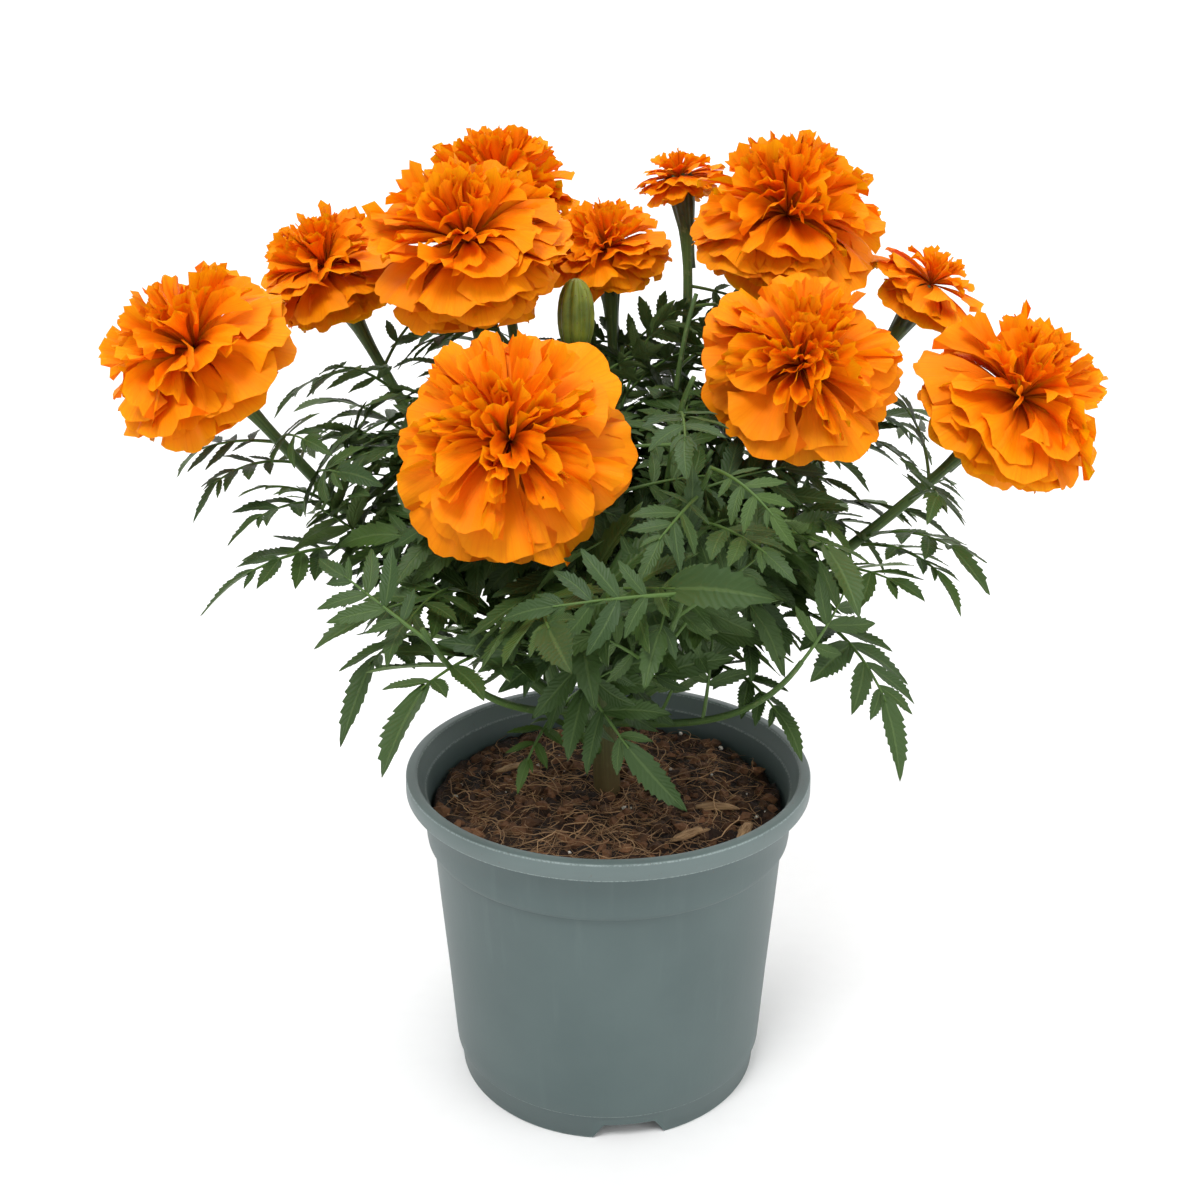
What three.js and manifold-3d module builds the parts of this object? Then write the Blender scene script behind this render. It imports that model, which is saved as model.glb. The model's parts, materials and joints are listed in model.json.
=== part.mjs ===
// A potted African marigold: a moulded nursery pot, the coir root ball in it, and one bushy plant with
// a main stem, eleven double flower heads on stems of their own, one green bud and pinnate leaves.
// Millimetres, +Z up. The origin is on the pot's axis, on the surface that the pot stands on.
// The plant's best side faces -Y.
import * as THREE from "three";
import { mergeVertices } from "three/addons/utils/BufferGeometryUtils.js";
import Module from "manifold-3d";

const wasm = await Module();
wasm.setup();

// Driving dimensions.
const GAP = 0.35; // left between pieces that touch
const UP = new THREE.Vector3(0, 0, 1);

const POT = {
  height: 115,
  rimRadius: 70,
  rimInside: 65.9,
  lipHeight: 6,
  bandHeight: 17,
  bandRadius: [64.4, 62.8], // at its top and its foot
  bodyRadius: [61.5, 55.1], // under the band and at the foot line
  footLine: 10,
  footRadius: 53.7,
  wall: 1.7,
  floorUnder: 6.5,
  floorThick: 2,
  sides: 60,
};
const NOTCH = { count: 3, height: 6, footWidth: 25, topWidth: 17, firstAngle: 8 };
const DRAIN = { count: 6, radius: 4.5, onRadius: 36, middleRadius: 6 };

const SOIL = { wallLevel: 101.5, middleLevel: 104, lump: 1.6, rootDepth: 42 };

const MAIN_STEM = { radius: [4.6, 3.2], top: [1, 5, 186] };
const FLOWER_STEM = { radius: [2.7, 1.9], calyxRadius: 5.6, calyxLength: 30, sides: 8, steps: 13 };
const LEAF = { thick: 0.9, stalkHalf: 0.9, pairs: 4, fold: 0.16 };

// Each flower head: the centre of its ring of outer petals, the way it faces, its width across, how high on
// the main stem its own stem leaves, and how double it is, from 0, flat and open, to 1, a full dome.
const HEADS = [
  { at: [-132, 10, 255], faces: [-0.5, -0.35, 0.79], across: 60, leaves: 126, double: 0.75 },
  { at: [-98, 60, 275], faces: [-0.42, -0.12, 0.9], across: 48, leaves: 148, double: 0.8 },
  { at: [-46, 28, 286], faces: [-0.06, -0.32, 0.94], across: 65, leaves: 158, double: 1 },
  { at: [-40, 85, 299], faces: [-0.05, 0.05, 1], across: 52, leaves: 167, double: 1 },
  { at: [-1, 66, 281], faces: [-0.1, -0.2, 0.97], across: 42, leaves: 176, double: 0.7 },
  { at: [26, 91, 304], faces: [-0.15, 0.1, 0.98], across: 31, leaves: 153, double: 0.3 },
  { at: [61, 58, 293], faces: [0.06, -0.36, 0.93], across: 65, leaves: 162, double: 1 },
  { at: [61, 6, 251], faces: [0.06, -0.72, 0.69], across: 65, leaves: 146, double: 0.85 },
  { at: [111, 57, 270], faces: [0.5, -0.15, 0.85], across: 40, leaves: 137, double: 0.3 },
  { at: [131, 8, 240], faces: [0.5, -0.4, 0.77], across: 60, leaves: 131, double: 0.75 },
  { at: [-29, -32, 235], faces: [-0.05, -0.8, 0.6], across: 72, leaves: 119, double: 0.9 },
];
const BUD = { at: [-11, 30, 253], faces: [0, -0.04, 1], radius: 5.6, length: 24, leaves: 185 };

// Each leaf: the flower stem that it grows on (0 is the bud's), how far along it, its tip, how broad it is
// beside its length, and how far its middle arches above the line from base to tip.
const LEAVES = [
  { on: 1, at: 0.55, tip: [-131, -25, 179], broad: 0.26, arch: 8 },
  { on: 1, at: 0.66, tip: [-121, -2, 212], broad: 0.3, arch: 4 },
  { on: 1, at: 0.3, tip: [-82, -60, 158], broad: 0.26, arch: 12 },
  { on: 11, at: 0.57, tip: [-88, -50, 179], broad: 0.26, arch: 6 },
  { on: 11, at: 0.4, tip: [-64, -104, 170], broad: 0.26, arch: 9 },
  { on: 11, at: 0.47, tip: [21, -62, 128], broad: 0.3, arch: 14 },
  { on: 11, at: 0.22, tip: [-29, -44, 124], broad: 0.32, arch: 5 },
  { on: 11, at: 0.6, tip: [-11, -112, 197], broad: 0.25, arch: 2 },
  { on: 11, at: 0.53, tip: [40, -90, 208], broad: 0.25, arch: 6 },
  { on: 10, at: 0.22, tip: [61, -40, 135], broad: 0.3, arch: 9 },
  { on: 10, at: 0.42, tip: [90, -62, 139], broad: 0.27, arch: 13 },
  { on: 10, at: 0.62, tip: [112, -26, 182], broad: 0.3, arch: 6 },
  { on: 8, at: 0.45, tip: [71, -72, 202], broad: 0.26, arch: 12 },
  { on: 9, at: 0.5, tip: [122, 30, 188], broad: 0.28, arch: 8 },
  { on: 2, at: 0.5, tip: [-99, 14, 231], broad: 0.28, arch: 5 },
  { on: 5, at: 0.55, tip: [22, 52, 268], broad: 0.26, arch: 4 },
  { on: 2, at: 0.6, tip: [-118, 80, 225], broad: 0.26, arch: 8 },
  { on: 2, at: 0.3, tip: [-88, 92, 170], broad: 0.26, arch: 12 },
  { on: 4, at: 0.35, tip: [-48, 110, 196], broad: 0.26, arch: 12 },
  { on: 5, at: 0.3, tip: [2, 111, 178], broad: 0.26, arch: 14 },
  { on: 6, at: 0.5, tip: [60, 111, 214], broad: 0.26, arch: 10 },
  { on: 9, at: 0.3, tip: [78, 96, 158], broad: 0.26, arch: 12 },
  { on: 9, at: 0.62, tip: [128, 84, 222], broad: 0.27, arch: 8 },
  { on: 4, at: 0.7, tip: [-68, 110, 252], broad: 0.27, arch: 6 },
  { on: 3, at: 0.5, tip: [-66, -16, 232], broad: 0.27, arch: 6 },
  { on: 7, at: 0.45, tip: [16, 22, 246], broad: 0.27, arch: 5 },
  { on: 1, at: 0.12, tip: [-52, 44, 136], broad: 0.27, arch: 8 },
  { on: 10, at: 0.1, tip: [40, 50, 134], broad: 0.27, arch: 8 },
];

const vector = (p) => new THREE.Vector3(...p);

// ---------------------------------------------------------------- solids

function solidOf(geometry) {
  const bare = new THREE.BufferGeometry().setAttribute(
    "position",
    (geometry.index ? geometry.toNonIndexed() : geometry).getAttribute("position"),
  );
  const merged = mergeVertices(bare, 1e-3);
  return new wasm.Manifold(
    new wasm.Mesh({
      numProp: 3,
      vertProperties: merged.attributes.position.array,
      triVerts: new Uint32Array(merged.index.array),
    }),
  );
}

function geometryOf(solid) {
  const mesh = solid.getMesh();
  return new THREE.BufferGeometry()
    .setAttribute("position", new THREE.BufferAttribute(new Float32Array(mesh.vertProperties), 3))
    .setIndex(new THREE.BufferAttribute(new Uint32Array(mesh.triVerts), 1));
}

// Turns an outline of [radius, height] pairs round +Z. A pair at the axis starts and ends it.
function turned(outline, sides) {
  const points = outline.map(([r, z]) => new THREE.Vector2(r, z));
  return new THREE.LatheGeometry(points, sides).rotateX(Math.PI / 2);
}

// Moves every vertex of a geometry by a function that changes it in place.
function moved(geometry, move) {
  const positions = geometry.getAttribute("position");
  const p = new THREE.Vector3();
  for (let i = 0; i < positions.count; i++) {
    move(p.fromBufferAttribute(positions, i));
    positions.setXYZ(i, p.x, p.y, p.z);
  }
  return geometry;
}

// A closed round stem along a curve. radiusAt gives its radius at a share of the curve's length.
function stem(curve, radiusAt, sides, steps) {
  const frames = curve.computeFrenetFrames(steps);
  return moved(new THREE.CylinderGeometry(1, 1, 1, sides, steps), (p) => {
    const step = Math.round((p.y + 0.5) * steps);
    const share = step / steps;
    const [across, deep] = [p.x, -p.z].map((side) => side * radiusAt(share));
    p.copy(curve.getPointAt(share))
      .addScaledVector(frames.normals[step], across)
      .addScaledVector(frames.binormals[step], deep);
  });
}

function mesh(name, geometry, material) {
  const made = new THREE.Mesh(geometry, material);
  made.name = name;
  return made;
}

const mix = (a, b, share) => a + (b - a) * share;
const smooth = (share) => THREE.MathUtils.smoothstep(share, 0, 1);

// ---------------------------------------------------------------- the pot

const plastic = new THREE.MeshStandardMaterial({ color: 0x62777a, roughness: 0.55 });

// The outside from the foot up to the lip, then the inside down to the floor, then the foot's inner wall.
function potOutline() {
  const lipFoot = POT.height - POT.lipHeight;
  const bandFoot = lipFoot - POT.bandHeight;
  const floorTop = POT.floorUnder + POT.floorThick;
  const [bandTop, bandLow] = POT.bandRadius;
  const [bodyTop, bodyLow] = POT.bodyRadius;
  return [
    [POT.footRadius - POT.wall, 0],
    [POT.footRadius, 0],
    [POT.footRadius + 1, POT.footLine],
    [bodyLow, POT.footLine + 0.3],
    [bodyTop, bandFoot - 0.6],
    [bandLow, bandFoot],
    [bandTop, lipFoot],
    [POT.rimRadius - 0.3, lipFoot],
    [POT.rimRadius, POT.height - 0.8],
    [POT.rimRadius - 0.8, POT.height],
    [POT.rimInside + 0.6, POT.height],
    [POT.rimInside, POT.height - 0.8],
    [bandTop - POT.wall, lipFoot],
    [bandLow - POT.wall, bandFoot + POT.wall],
    [bodyTop - POT.wall, bandFoot],
    [bodyLow - POT.wall, floorTop + 3],
    [bodyLow - POT.wall - 3, floorTop],
    [0, floorTop],
    [0, POT.floorUnder],
    [POT.footRadius - POT.wall, POT.floorUnder],
    [POT.footRadius - POT.wall, 0],
  ];
}

// The wedge that opens one drainage notch through the foot, as a trapezium run out through the wall.
function notch(angle) {
  const shape = new THREE.Shape();
  const [foot, top] = [NOTCH.footWidth / 2, NOTCH.topWidth / 2];
  shape.moveTo(-foot, -1);
  shape.lineTo(foot, -1);
  shape.lineTo(foot, 0);
  shape.lineTo(top, NOTCH.height);
  shape.lineTo(-top, NOTCH.height);
  shape.lineTo(-foot, 0);
  const out = new THREE.ExtrudeGeometry(shape, { depth: 20, bevelEnabled: false });
  out.rotateX(Math.PI / 2).translate(0, -POT.footRadius + 10, 0);
  return solidOf(out.rotateZ(THREE.MathUtils.degToRad(angle)));
}

function drainHole(x, y, radius) {
  const hole = new THREE.CylinderGeometry(radius, radius, 12, 14).rotateX(Math.PI / 2);
  return solidOf(hole.translate(x, y, POT.floorUnder));
}

function pot() {
  let solid = solidOf(turned(potOutline(), POT.sides));
  for (let i = 0; i < NOTCH.count; i++) {
    solid = solid.subtract(notch(NOTCH.firstAngle + (i * 360) / NOTCH.count));
  }
  solid = solid.subtract(drainHole(0, 0, DRAIN.middleRadius));
  for (let i = 0; i < DRAIN.count; i++) {
    const turn = (i * 2 * Math.PI) / DRAIN.count;
    const [x, y] = [Math.cos(turn), Math.sin(turn)].map((side) => side * DRAIN.onRadius);
    solid = solid.subtract(drainHole(x, y, DRAIN.radius));
  }
  return mesh("pot", geometryOf(solid), plastic);
}

// ---------------------------------------------------------------- the main stem and the root ball

const bark = new THREE.MeshStandardMaterial({ color: 0x5a6a35, roughness: 0.6 });
const coir = new THREE.MeshStandardMaterial({ color: 0x4a3222, roughness: 0.95 });

const mainPath = new THREE.CatmullRomCurve3([
  new THREE.Vector3(0, 0, SOIL.middleLevel - SOIL.rootDepth),
  new THREE.Vector3(0, 0, SOIL.middleLevel),
  new THREE.Vector3(-1.5, 1.5, 145),
  vector(MAIN_STEM.top),
]);

function mainStem(extra = 0) {
  const radiusAt = (share) => mix(...MAIN_STEM.radius, share) + extra;
  return stem(mainPath, radiusAt, 10, 9);
}

// How high the root ball's lumpy top stands at a place.
function soilLevel(x, y) {
  const out = Math.hypot(x, y) / POT.bandRadius[1];
  const level = mix(SOIL.middleLevel, SOIL.wallLevel, out * out);
  const lumps = Math.sin(x / 9 + 0.6) * Math.cos(y / 11) + 0.6 * Math.sin((x + y) / 6);
  return level + SOIL.lump * lumps * (1 - out ** 4);
}

function growingMedium() {
  const lipFoot = POT.height - POT.lipHeight;
  const bandFoot = lipFoot - POT.bandHeight;
  const inside = POT.wall + GAP;
  const floorTop = POT.floorUnder + POT.floorThick;
  const topRadii = [61.4, 52, 42, 32, 22, 12];
  const outline = [
    [0, floorTop + GAP],
    [POT.bodyRadius[1] - inside - 3.4, floorTop + GAP],
    [POT.bodyRadius[1] - inside, floorTop + 3.5],
    [POT.bodyRadius[0] - inside, bandFoot - 0.5],
    [POT.bandRadius[1] - inside, bandFoot + POT.wall + 0.6],
    ...topRadii.map((r) => [r, SOIL.middleLevel]),
    [0, SOIL.middleLevel],
  ];
  const ball = moved(turned(outline, 32), (p) => {
    if (p.z > SOIL.middleLevel - 1) p.z = soilLevel(p.x, p.y);
  });
  return mesh("growing_medium", geometryOf(solidOf(ball).subtract(solidOf(mainStem(GAP)))), coir);
}

// A sliver of bark lying on the root ball, cut off slantwise at its ends.
const CHIPS = [
  { at: [27, -33], turn: 28, size: [15, 5, 2.6] },
  { at: [37, -13], turn: -8, size: [14, 6, 3] },
  { at: [45, -32], turn: 60, size: [9, 7, 3.4] },
  { at: [-35, 14], turn: 22, size: [12, 4, 2.4] },
];

function barkChip({ at: [x, y], turn, size: [long, wide, thick] }, index) {
  const chip = moved(new THREE.BoxGeometry(long, wide, thick, 2, 2, 1), (p) => {
    p.x += 0.25 * p.y;
    p.y *= 1 - 0.35 * Math.abs(p.x / long);
    p.z *= 1 - 0.5 * Math.abs(p.y / wide);
  });
  const made = mesh(`bark_chip_${index + 1}`, chip, chipWood);
  made.position.set(x, y, soilLevel(x, y) + thick / 2 + 1.4);
  made.rotation.z = THREE.MathUtils.degToRad(turn);
  return made;
}
const chipWood = new THREE.MeshStandardMaterial({ color: 0x8a5f36, roughness: 0.9 });

// ---------------------------------------------------------------- flower stems, each with its calyx

const green = new THREE.MeshStandardMaterial({ color: 0x3f5a30, roughness: 0.55 });
const HEAD_FOOT = 0.16; // how far a head's underside lies below its ring, beside its radius

// A stem leaves the main stem outwards and upwards, and comes into its head along the way the head faces.
function flowerStem({ at, faces, leaves }, drop, endRadius, endLength) {
  const rootTop = SOIL.middleLevel - SOIL.rootDepth;
  const start = mainPath.getPointAt((leaves - rootTop) / (MAIN_STEM.top[2] - rootTop));
  const way = vector(faces).normalize();
  const end = vector(at).addScaledVector(way, -drop);
  const span = end.distanceTo(start);
  const leave = new THREE.Vector3(end.x - start.x, end.y - start.y, 0).setLength(0.8).addScaledVector(UP, 0.6);
  const path = new THREE.CubicBezierCurve3(
    start,
    start.clone().addScaledVector(leave, span * 0.38),
    end.clone().addScaledVector(way, -span * 0.4),
    end,
  );
  const length = path.getLength();
  const radiusAt = (share) => {
    const flare = smooth((share * length - (length - endLength)) / endLength);
    return mix(mix(...FLOWER_STEM.radius, share), endRadius, flare);
  };
  return { path, radiusAt };
}

const budStem = flowerStem(BUD, GAP, BUD.radius * 0.3, 8);
const flowerStems = HEADS.map((head) => {
  const calyx = FLOWER_STEM.calyxRadius * mix(0.6, 1, head.across / 72);
  return flowerStem(head, (head.across / 2) * HEAD_FOOT + GAP, calyx, FLOWER_STEM.calyxLength);
});

function stemMesh(name, { path, radiusAt }) {
  const whole = stem(path, radiusAt, FLOWER_STEM.sides, FLOWER_STEM.steps);
  return mesh(name, geometryOf(solidOf(whole).subtract(solidOf(mainStem(GAP)))), green);
}

// ---------------------------------------------------------------- flower heads and the bud

const petal = new THREE.MeshStandardMaterial({ color: 0xf78a06, roughness: 0.6 });
const budGreen = new THREE.MeshStandardMaterial({ color: 0x5f7a25, roughness: 0.5 });

// Stands a geometry made round +Z at a place, facing a way.
function facing(made, at, faces) {
  made.position.set(...at);
  made.quaternion.setFromUnitVectors(UP, vector(faces).normalize());
  return made;
}

// The outer petals hang in a skirt, and shorter tiers rise above them to a dome.
function headOutline(double) {
  const dome = mix(0.34, 0.68, double);
  return [
    [0, -HEAD_FOOT],
    [0.14, -HEAD_FOOT],
    [0.5, -0.14],
    [0.88, -0.4],
    [0.98, -0.3],
    [1, -0.1],
    [0.9, 0.06],
    [0.88, 0.36 * dome],
    [0.76, 0.62 * dome],
    [0.56, 0.84 * dome],
    [0.3, 0.97 * dome],
    [0, dome],
  ];
}

function flowerHead(head, index) {
  const radius = head.across / 2;
  const scallops = 8;
  const outline = headOutline(head.double).map((pair) => pair.map((side) => side * radius));
  const ruffled = moved(turned(outline, scallops * 3), (p) => {
    const out = Math.hypot(p.x, p.y) / radius;
    const wave = 1 + 0.06 * out * (Math.cos(scallops * Math.atan2(p.y, p.x)) - 1) * 0.5;
    p.x *= wave;
    p.y *= wave;
  });
  return facing(mesh(`flower_head_${index + 1}`, ruffled, petal), head.at, head.faces);
}

// The bud is a ribbed egg, blunt at the top.
function bud() {
  const ribs = 8;
  const outline = [0, 0.35, 0.72, 0.95, 1, 0.96, 0.82, 0.55, 0].map((r, i, all) => [
    r * BUD.radius,
    BUD.length * (1 - (1 - i / (all.length - 1)) ** 1.15),
  ]);
  const ribbed = moved(turned(outline, ribs * 3), (p) => {
    const rib = 1 + 0.03 * Math.cos(ribs * Math.atan2(p.y, p.x));
    p.x *= rib;
    p.y *= rib;
  });
  return facing(mesh("bud", ribbed, budGreen), BUD.at, BUD.faces);
}

// ---------------------------------------------------------------- leaves

const leafGreen = new THREE.MeshStandardMaterial({ color: 0x3d5a3a, roughness: 0.6 });

// A leaflet's outline on the right of the stalk, from the stalk out to its tip and back.
function leafletPoints(y, angle, long, wide) {
  const along = new THREE.Vector2(Math.sin(angle), Math.cos(angle));
  const across = new THREE.Vector2(-along.y, along.x);
  const at = (out, side) => {
    const stalk = new THREE.Vector2(LEAF.stalkHalf, y);
    return stalk.addScaledVector(along, out * long).addScaledVector(across, side * wide);
  };
  const foot = (side) => new THREE.Vector2(LEAF.stalkHalf, y + side * wide);
  return [foot(-0.1), at(0.45, -0.5), at(1, 0), at(0.45, 0.5), foot(0.1)];
}

// A flat pinnate leaf along +Y: bare stalk, pairs of leaflets, and one leaflet at the end.
function leafShape(length, broad) {
  const right = [new THREE.Vector2(LEAF.stalkHalf, 0)];
  for (let i = 0; i < LEAF.pairs; i++) {
    const share = i / (LEAF.pairs - 1);
    const long = length * broad * mix(0.8, 1, Math.sin(Math.PI * (0.25 + 0.6 * share)));
    right.push(...leafletPoints(length * mix(0.2, 0.62, share), mix(1.05, 0.8, share), long, 0.105 * length));
  }
  right.push(new THREE.Vector2(LEAF.stalkHalf * 0.8, length * 0.69));
  right.push(new THREE.Vector2(0.062 * length, length * 0.84));
  const left = right.map((p) => new THREE.Vector2(-p.x, p.y)).reverse();
  return new THREE.Shape([...right, new THREE.Vector2(0, length), ...left]);
}

// The way a leaf's upper side looks: up, and out from the middle of the plant.
function upperSide(base, along) {
  const middle = base.clone().addScaledVector(along, 10);
  const side = new THREE.Vector3(middle.x, middle.y, 0).normalize().multiplyScalar(0.75).add(UP);
  return side.addScaledVector(along, -side.dot(along)).normalize();
}

function leaf({ on, at, tip, broad, arch }, index) {
  const { path, radiusAt } = on === 0 ? budStem : flowerStems[on - 1];
  const root = path.getPointAt(at);
  const end = vector(tip);
  const tangent = path.getTangentAt(at);
  const off = end.clone().sub(root);
  off.addScaledVector(tangent, -off.dot(tangent)).setLength(radiusAt(at) + GAP + LEAF.thick);
  const base = root.clone().add(off);
  const length = end.distanceTo(base);
  const along = end.clone().sub(base).normalize();
  const upper = upperSide(base, along);
  const flat = new THREE.ExtrudeGeometry(leafShape(length, broad), { depth: LEAF.thick, bevelEnabled: false });
  const bent = moved(flat, (p) => {
    const share = THREE.MathUtils.clamp(p.y / length, 0, 1);
    p.z += arch * 4 * share * (1 - share) + LEAF.fold * Math.abs(p.x);
  });
  const made = mesh(`leaf_${String(index + 1).padStart(2, "0")}`, bent, leafGreen);
  const across = along.clone().cross(upper);
  made.quaternion.setFromRotationMatrix(new THREE.Matrix4().makeBasis(across, along, upper));
  made.position.copy(base);
  return made;
}

// ---------------------------------------------------------------- the whole

const marigold = new THREE.Group();
marigold.add(pot(), growingMedium(), ...CHIPS.map(barkChip));
marigold.add(mesh("main_stem", mainStem(), bark));
marigold.add(...flowerStems.map((made, i) => stemMesh(`flower_stem_${i + 1}`, made)));
marigold.add(...HEADS.map(flowerHead));
marigold.add(stemMesh("bud_stem", budStem), bud());
marigold.add(...LEAVES.map(leaf));

export default marigold;
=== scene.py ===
import json
import math
import random

import bmesh
import bpy
import numpy as np
from mathutils import Matrix, Vector, noise

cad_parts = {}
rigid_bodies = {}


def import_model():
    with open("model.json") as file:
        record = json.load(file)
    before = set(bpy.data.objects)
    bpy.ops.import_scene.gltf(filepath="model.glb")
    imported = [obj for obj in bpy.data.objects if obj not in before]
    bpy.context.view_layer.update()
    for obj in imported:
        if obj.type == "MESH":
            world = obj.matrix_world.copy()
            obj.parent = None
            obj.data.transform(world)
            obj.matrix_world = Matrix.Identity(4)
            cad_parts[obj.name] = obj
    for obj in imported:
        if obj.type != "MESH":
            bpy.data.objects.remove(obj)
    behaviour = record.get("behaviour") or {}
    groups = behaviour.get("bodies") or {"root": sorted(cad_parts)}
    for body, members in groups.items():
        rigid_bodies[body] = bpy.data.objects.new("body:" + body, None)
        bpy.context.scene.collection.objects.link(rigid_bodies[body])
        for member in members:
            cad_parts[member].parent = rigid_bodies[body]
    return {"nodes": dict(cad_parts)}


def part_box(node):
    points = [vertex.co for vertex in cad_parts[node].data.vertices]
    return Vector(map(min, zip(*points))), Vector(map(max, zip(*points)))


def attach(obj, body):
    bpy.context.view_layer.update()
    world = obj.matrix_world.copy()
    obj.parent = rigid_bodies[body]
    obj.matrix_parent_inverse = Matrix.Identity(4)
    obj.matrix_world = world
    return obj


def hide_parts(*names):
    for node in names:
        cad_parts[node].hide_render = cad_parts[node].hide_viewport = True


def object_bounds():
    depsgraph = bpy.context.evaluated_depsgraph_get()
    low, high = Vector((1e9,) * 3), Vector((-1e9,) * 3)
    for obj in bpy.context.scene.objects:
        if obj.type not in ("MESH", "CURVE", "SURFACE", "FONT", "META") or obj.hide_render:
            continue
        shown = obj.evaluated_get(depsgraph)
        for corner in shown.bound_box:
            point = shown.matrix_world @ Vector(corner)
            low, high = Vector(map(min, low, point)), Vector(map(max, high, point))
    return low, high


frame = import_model()
cad_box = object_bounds()
nodes = frame["nodes"]
MM = 0.001

# ---------------------------------------------------------------- the studio
# A pale floor that sweeps up into a wall, one large soft light above and in front on the left, a weaker one
# on the right, one over the wall, and an even, pale surround.
scene = bpy.context.scene
scene.view_settings.view_transform = "Standard"

camera_data = bpy.data.cameras.new("camera")
camera_data.sensor_width = 36
camera_data.lens = 41.64
camera_data.clip_start = 0.01
camera = bpy.data.objects.new("camera", camera_data)
camera.location = (0, -0.4374, 0.3286)
camera.rotation_euler = (math.pi / 2 - 0.338, 0, 0.0064)
scene.collection.objects.link(camera)
scene.camera = camera


def add(tree, kind, sockets=None, **settings):
    """A node in a tree, with its settings, and its input sockets set to values or linked to outputs."""
    node = tree.nodes.new(kind)
    for key, value in settings.items():
        setattr(node, key, value)
    for key, value in (sockets or {}).items():
        if isinstance(value, bpy.types.NodeSocket):
            tree.links.new(value, node.inputs[key])
        else:
            node.inputs[key].default_value = value
    return node


def new_material(name, **constants):
    """A material with one Principled shader, whose constant sockets are set. Returns it, its tree and shader."""
    material = bpy.data.materials.new(name)
    material.use_nodes = True
    tree = material.node_tree
    shader = tree.nodes["Principled BSDF"]
    for key, value in constants.items():
        shader.inputs[key.replace("_", " ")].default_value = value
    return material, tree, shader


def surround(strength):
    world = bpy.data.worlds.new("surround")
    world.use_nodes = True
    background = world.node_tree.nodes["Background"]
    background.inputs["Color"].default_value = (1, 1, 1, 1)
    background.inputs["Strength"].default_value = strength
    scene.world = world


def soft_light(name, place, target, size, power):
    data = bpy.data.lights.new(name, "AREA")
    data.shape = "DISK"
    data.size = size
    data.energy = power
    light = bpy.data.objects.new(name, data)
    light.location = place
    light.rotation_euler = (Vector(target) - Vector(place)).to_track_quat("-Z", "Y").to_euler()
    scene.collection.objects.link(light)


surround(0.72)
soft_light("key", (-0.35, -0.9, 1.7), (0, 0, 0.2), 0.7, 18)
soft_light("fill", (1.3, -0.8, 1.0), (0, 0, 0.2), 1.2, 7)
soft_light("wall_light", (0, 0.7, 2.6), (0, 2.4, 1.0), 1.6, 34)


def sweep_floor(half, back, rise, bend):
    """A floor that turns up into a wall behind, as one sheet."""
    line = [(-half, 0.0)] + [
        (back - bend + bend * math.sin(a), bend - bend * math.cos(a))
        for a in np.linspace(0, math.pi / 2, 24)
    ] + [(back, rise)]
    sheet = bmesh.new()
    rows = [[sheet.verts.new((x, y, z)) for x in (-half, half)] for y, z in line]
    for low, high in zip(rows, rows[1:]):
        sheet.faces.new((low[0], low[1], high[1], high[0]))
    mesh = bpy.data.meshes.new("floor")
    sheet.to_mesh(mesh)
    mesh.shade_smooth()
    return mesh


floor_paint, tree, shader = new_material("floor_paint", Roughness=0.9)
grain = add(tree, "ShaderNodeTexNoise", {"Scale": 900.0, "Detail": 2.0})
tint = add(tree, "ShaderNodeMix", {"Factor": grain.outputs["Fac"]}, data_type="RGBA")
tint.inputs["A"].default_value = (0.93, 0.93, 0.93, 1)
tint.inputs["B"].default_value = (0.96, 0.96, 0.96, 1)
tree.links.new(tint.outputs["Result"], shader.inputs["Base Color"])
floor = bpy.data.objects.new("floor", sweep_floor(4, 2.4, 4, 1.2))
floor.data.materials.append(floor_paint)
scene.collection.objects.link(floor)


# ---------------------------------------------------------------- the pot
# A nursery pot moulded in one shot from teal-grey polypropylene: a thin tapered wall, a stiffening collar, a
# rolled lip, and a raised floor on a foot ring that is notched so that water can run out.
POT_OUTLINE = [  # radius and height, from under the foot, up the outside, and down the inside
    (52.0, 0), (53.3, 0), (53.7, 0.4), (54.5, 9.2), (54.9, 9.9), (55.4, 10.1), (55.6, 10.6), (56.0, 16),
    (57.6, 40), (59.6, 66), (61.2, 89), (61.5, 90.6), (61.9, 90.9), (62.9, 91.1), (63.3, 91.6), (63.5, 93),
    (63.9, 99),
    (64.5, 107.8), (64.9, 108.7), (65.6, 109.0), (69.3, 108.9), (69.8, 109.0), (70.0, 109.4), (69.9, 114.2),
    (69.6, 114.8), (69.0, 115.0), (66.9, 115.0), (66.3, 114.8), (65.9, 114.2), (64.6, 110.4), (62.9, 108.6),
    (62.2, 100), (61.4, 94.4), (60.4, 92.6), (59.8, 91.0), (58.2, 70), (54.4, 18), (53.6, 12.5), (52.6, 9.6),
    (50.6, 8.5), (0, 8.5), (0, 6.5), (51.0, 6.5), (51.8, 5.8), (52.0, 5.0),
]
POT_SIDES = 216


def outward_mesh(name, body, smooth=True):
    """The mesh of a closed bmesh, with its faces turned outward."""
    bmesh.ops.recalc_face_normals(body, faces=body.faces)
    mesh = bpy.data.meshes.new(name)
    body.to_mesh(mesh)
    if smooth:
        mesh.shade_smooth()
    return mesh


def revolve(name, outline, sides):
    """A closed shell turned from an outline of (radius, height) pairs in mm. A radius of 0 is a pole."""
    shell = bmesh.new()
    rings = []
    for radius, height in outline:
        turns = [0] if radius == 0 else [2 * math.pi * i / sides for i in range(sides)]
        rings.append([
            shell.verts.new((radius * MM * math.cos(a), radius * MM * math.sin(a), height * MM))
            for a in turns
        ])
    for low, high in zip(rings, rings[1:] + rings[:1]):
        if len(low) == len(high) == 1:
            continue
        for i in range(sides):
            j = (i + 1) % sides
            corners = [low[i % len(low)], low[j % len(low)], high[j % len(high)], high[i % len(high)]]
            shell.faces.new(list(dict.fromkeys(corners)))
    return outward_mesh(name, shell, smooth=False)


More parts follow.
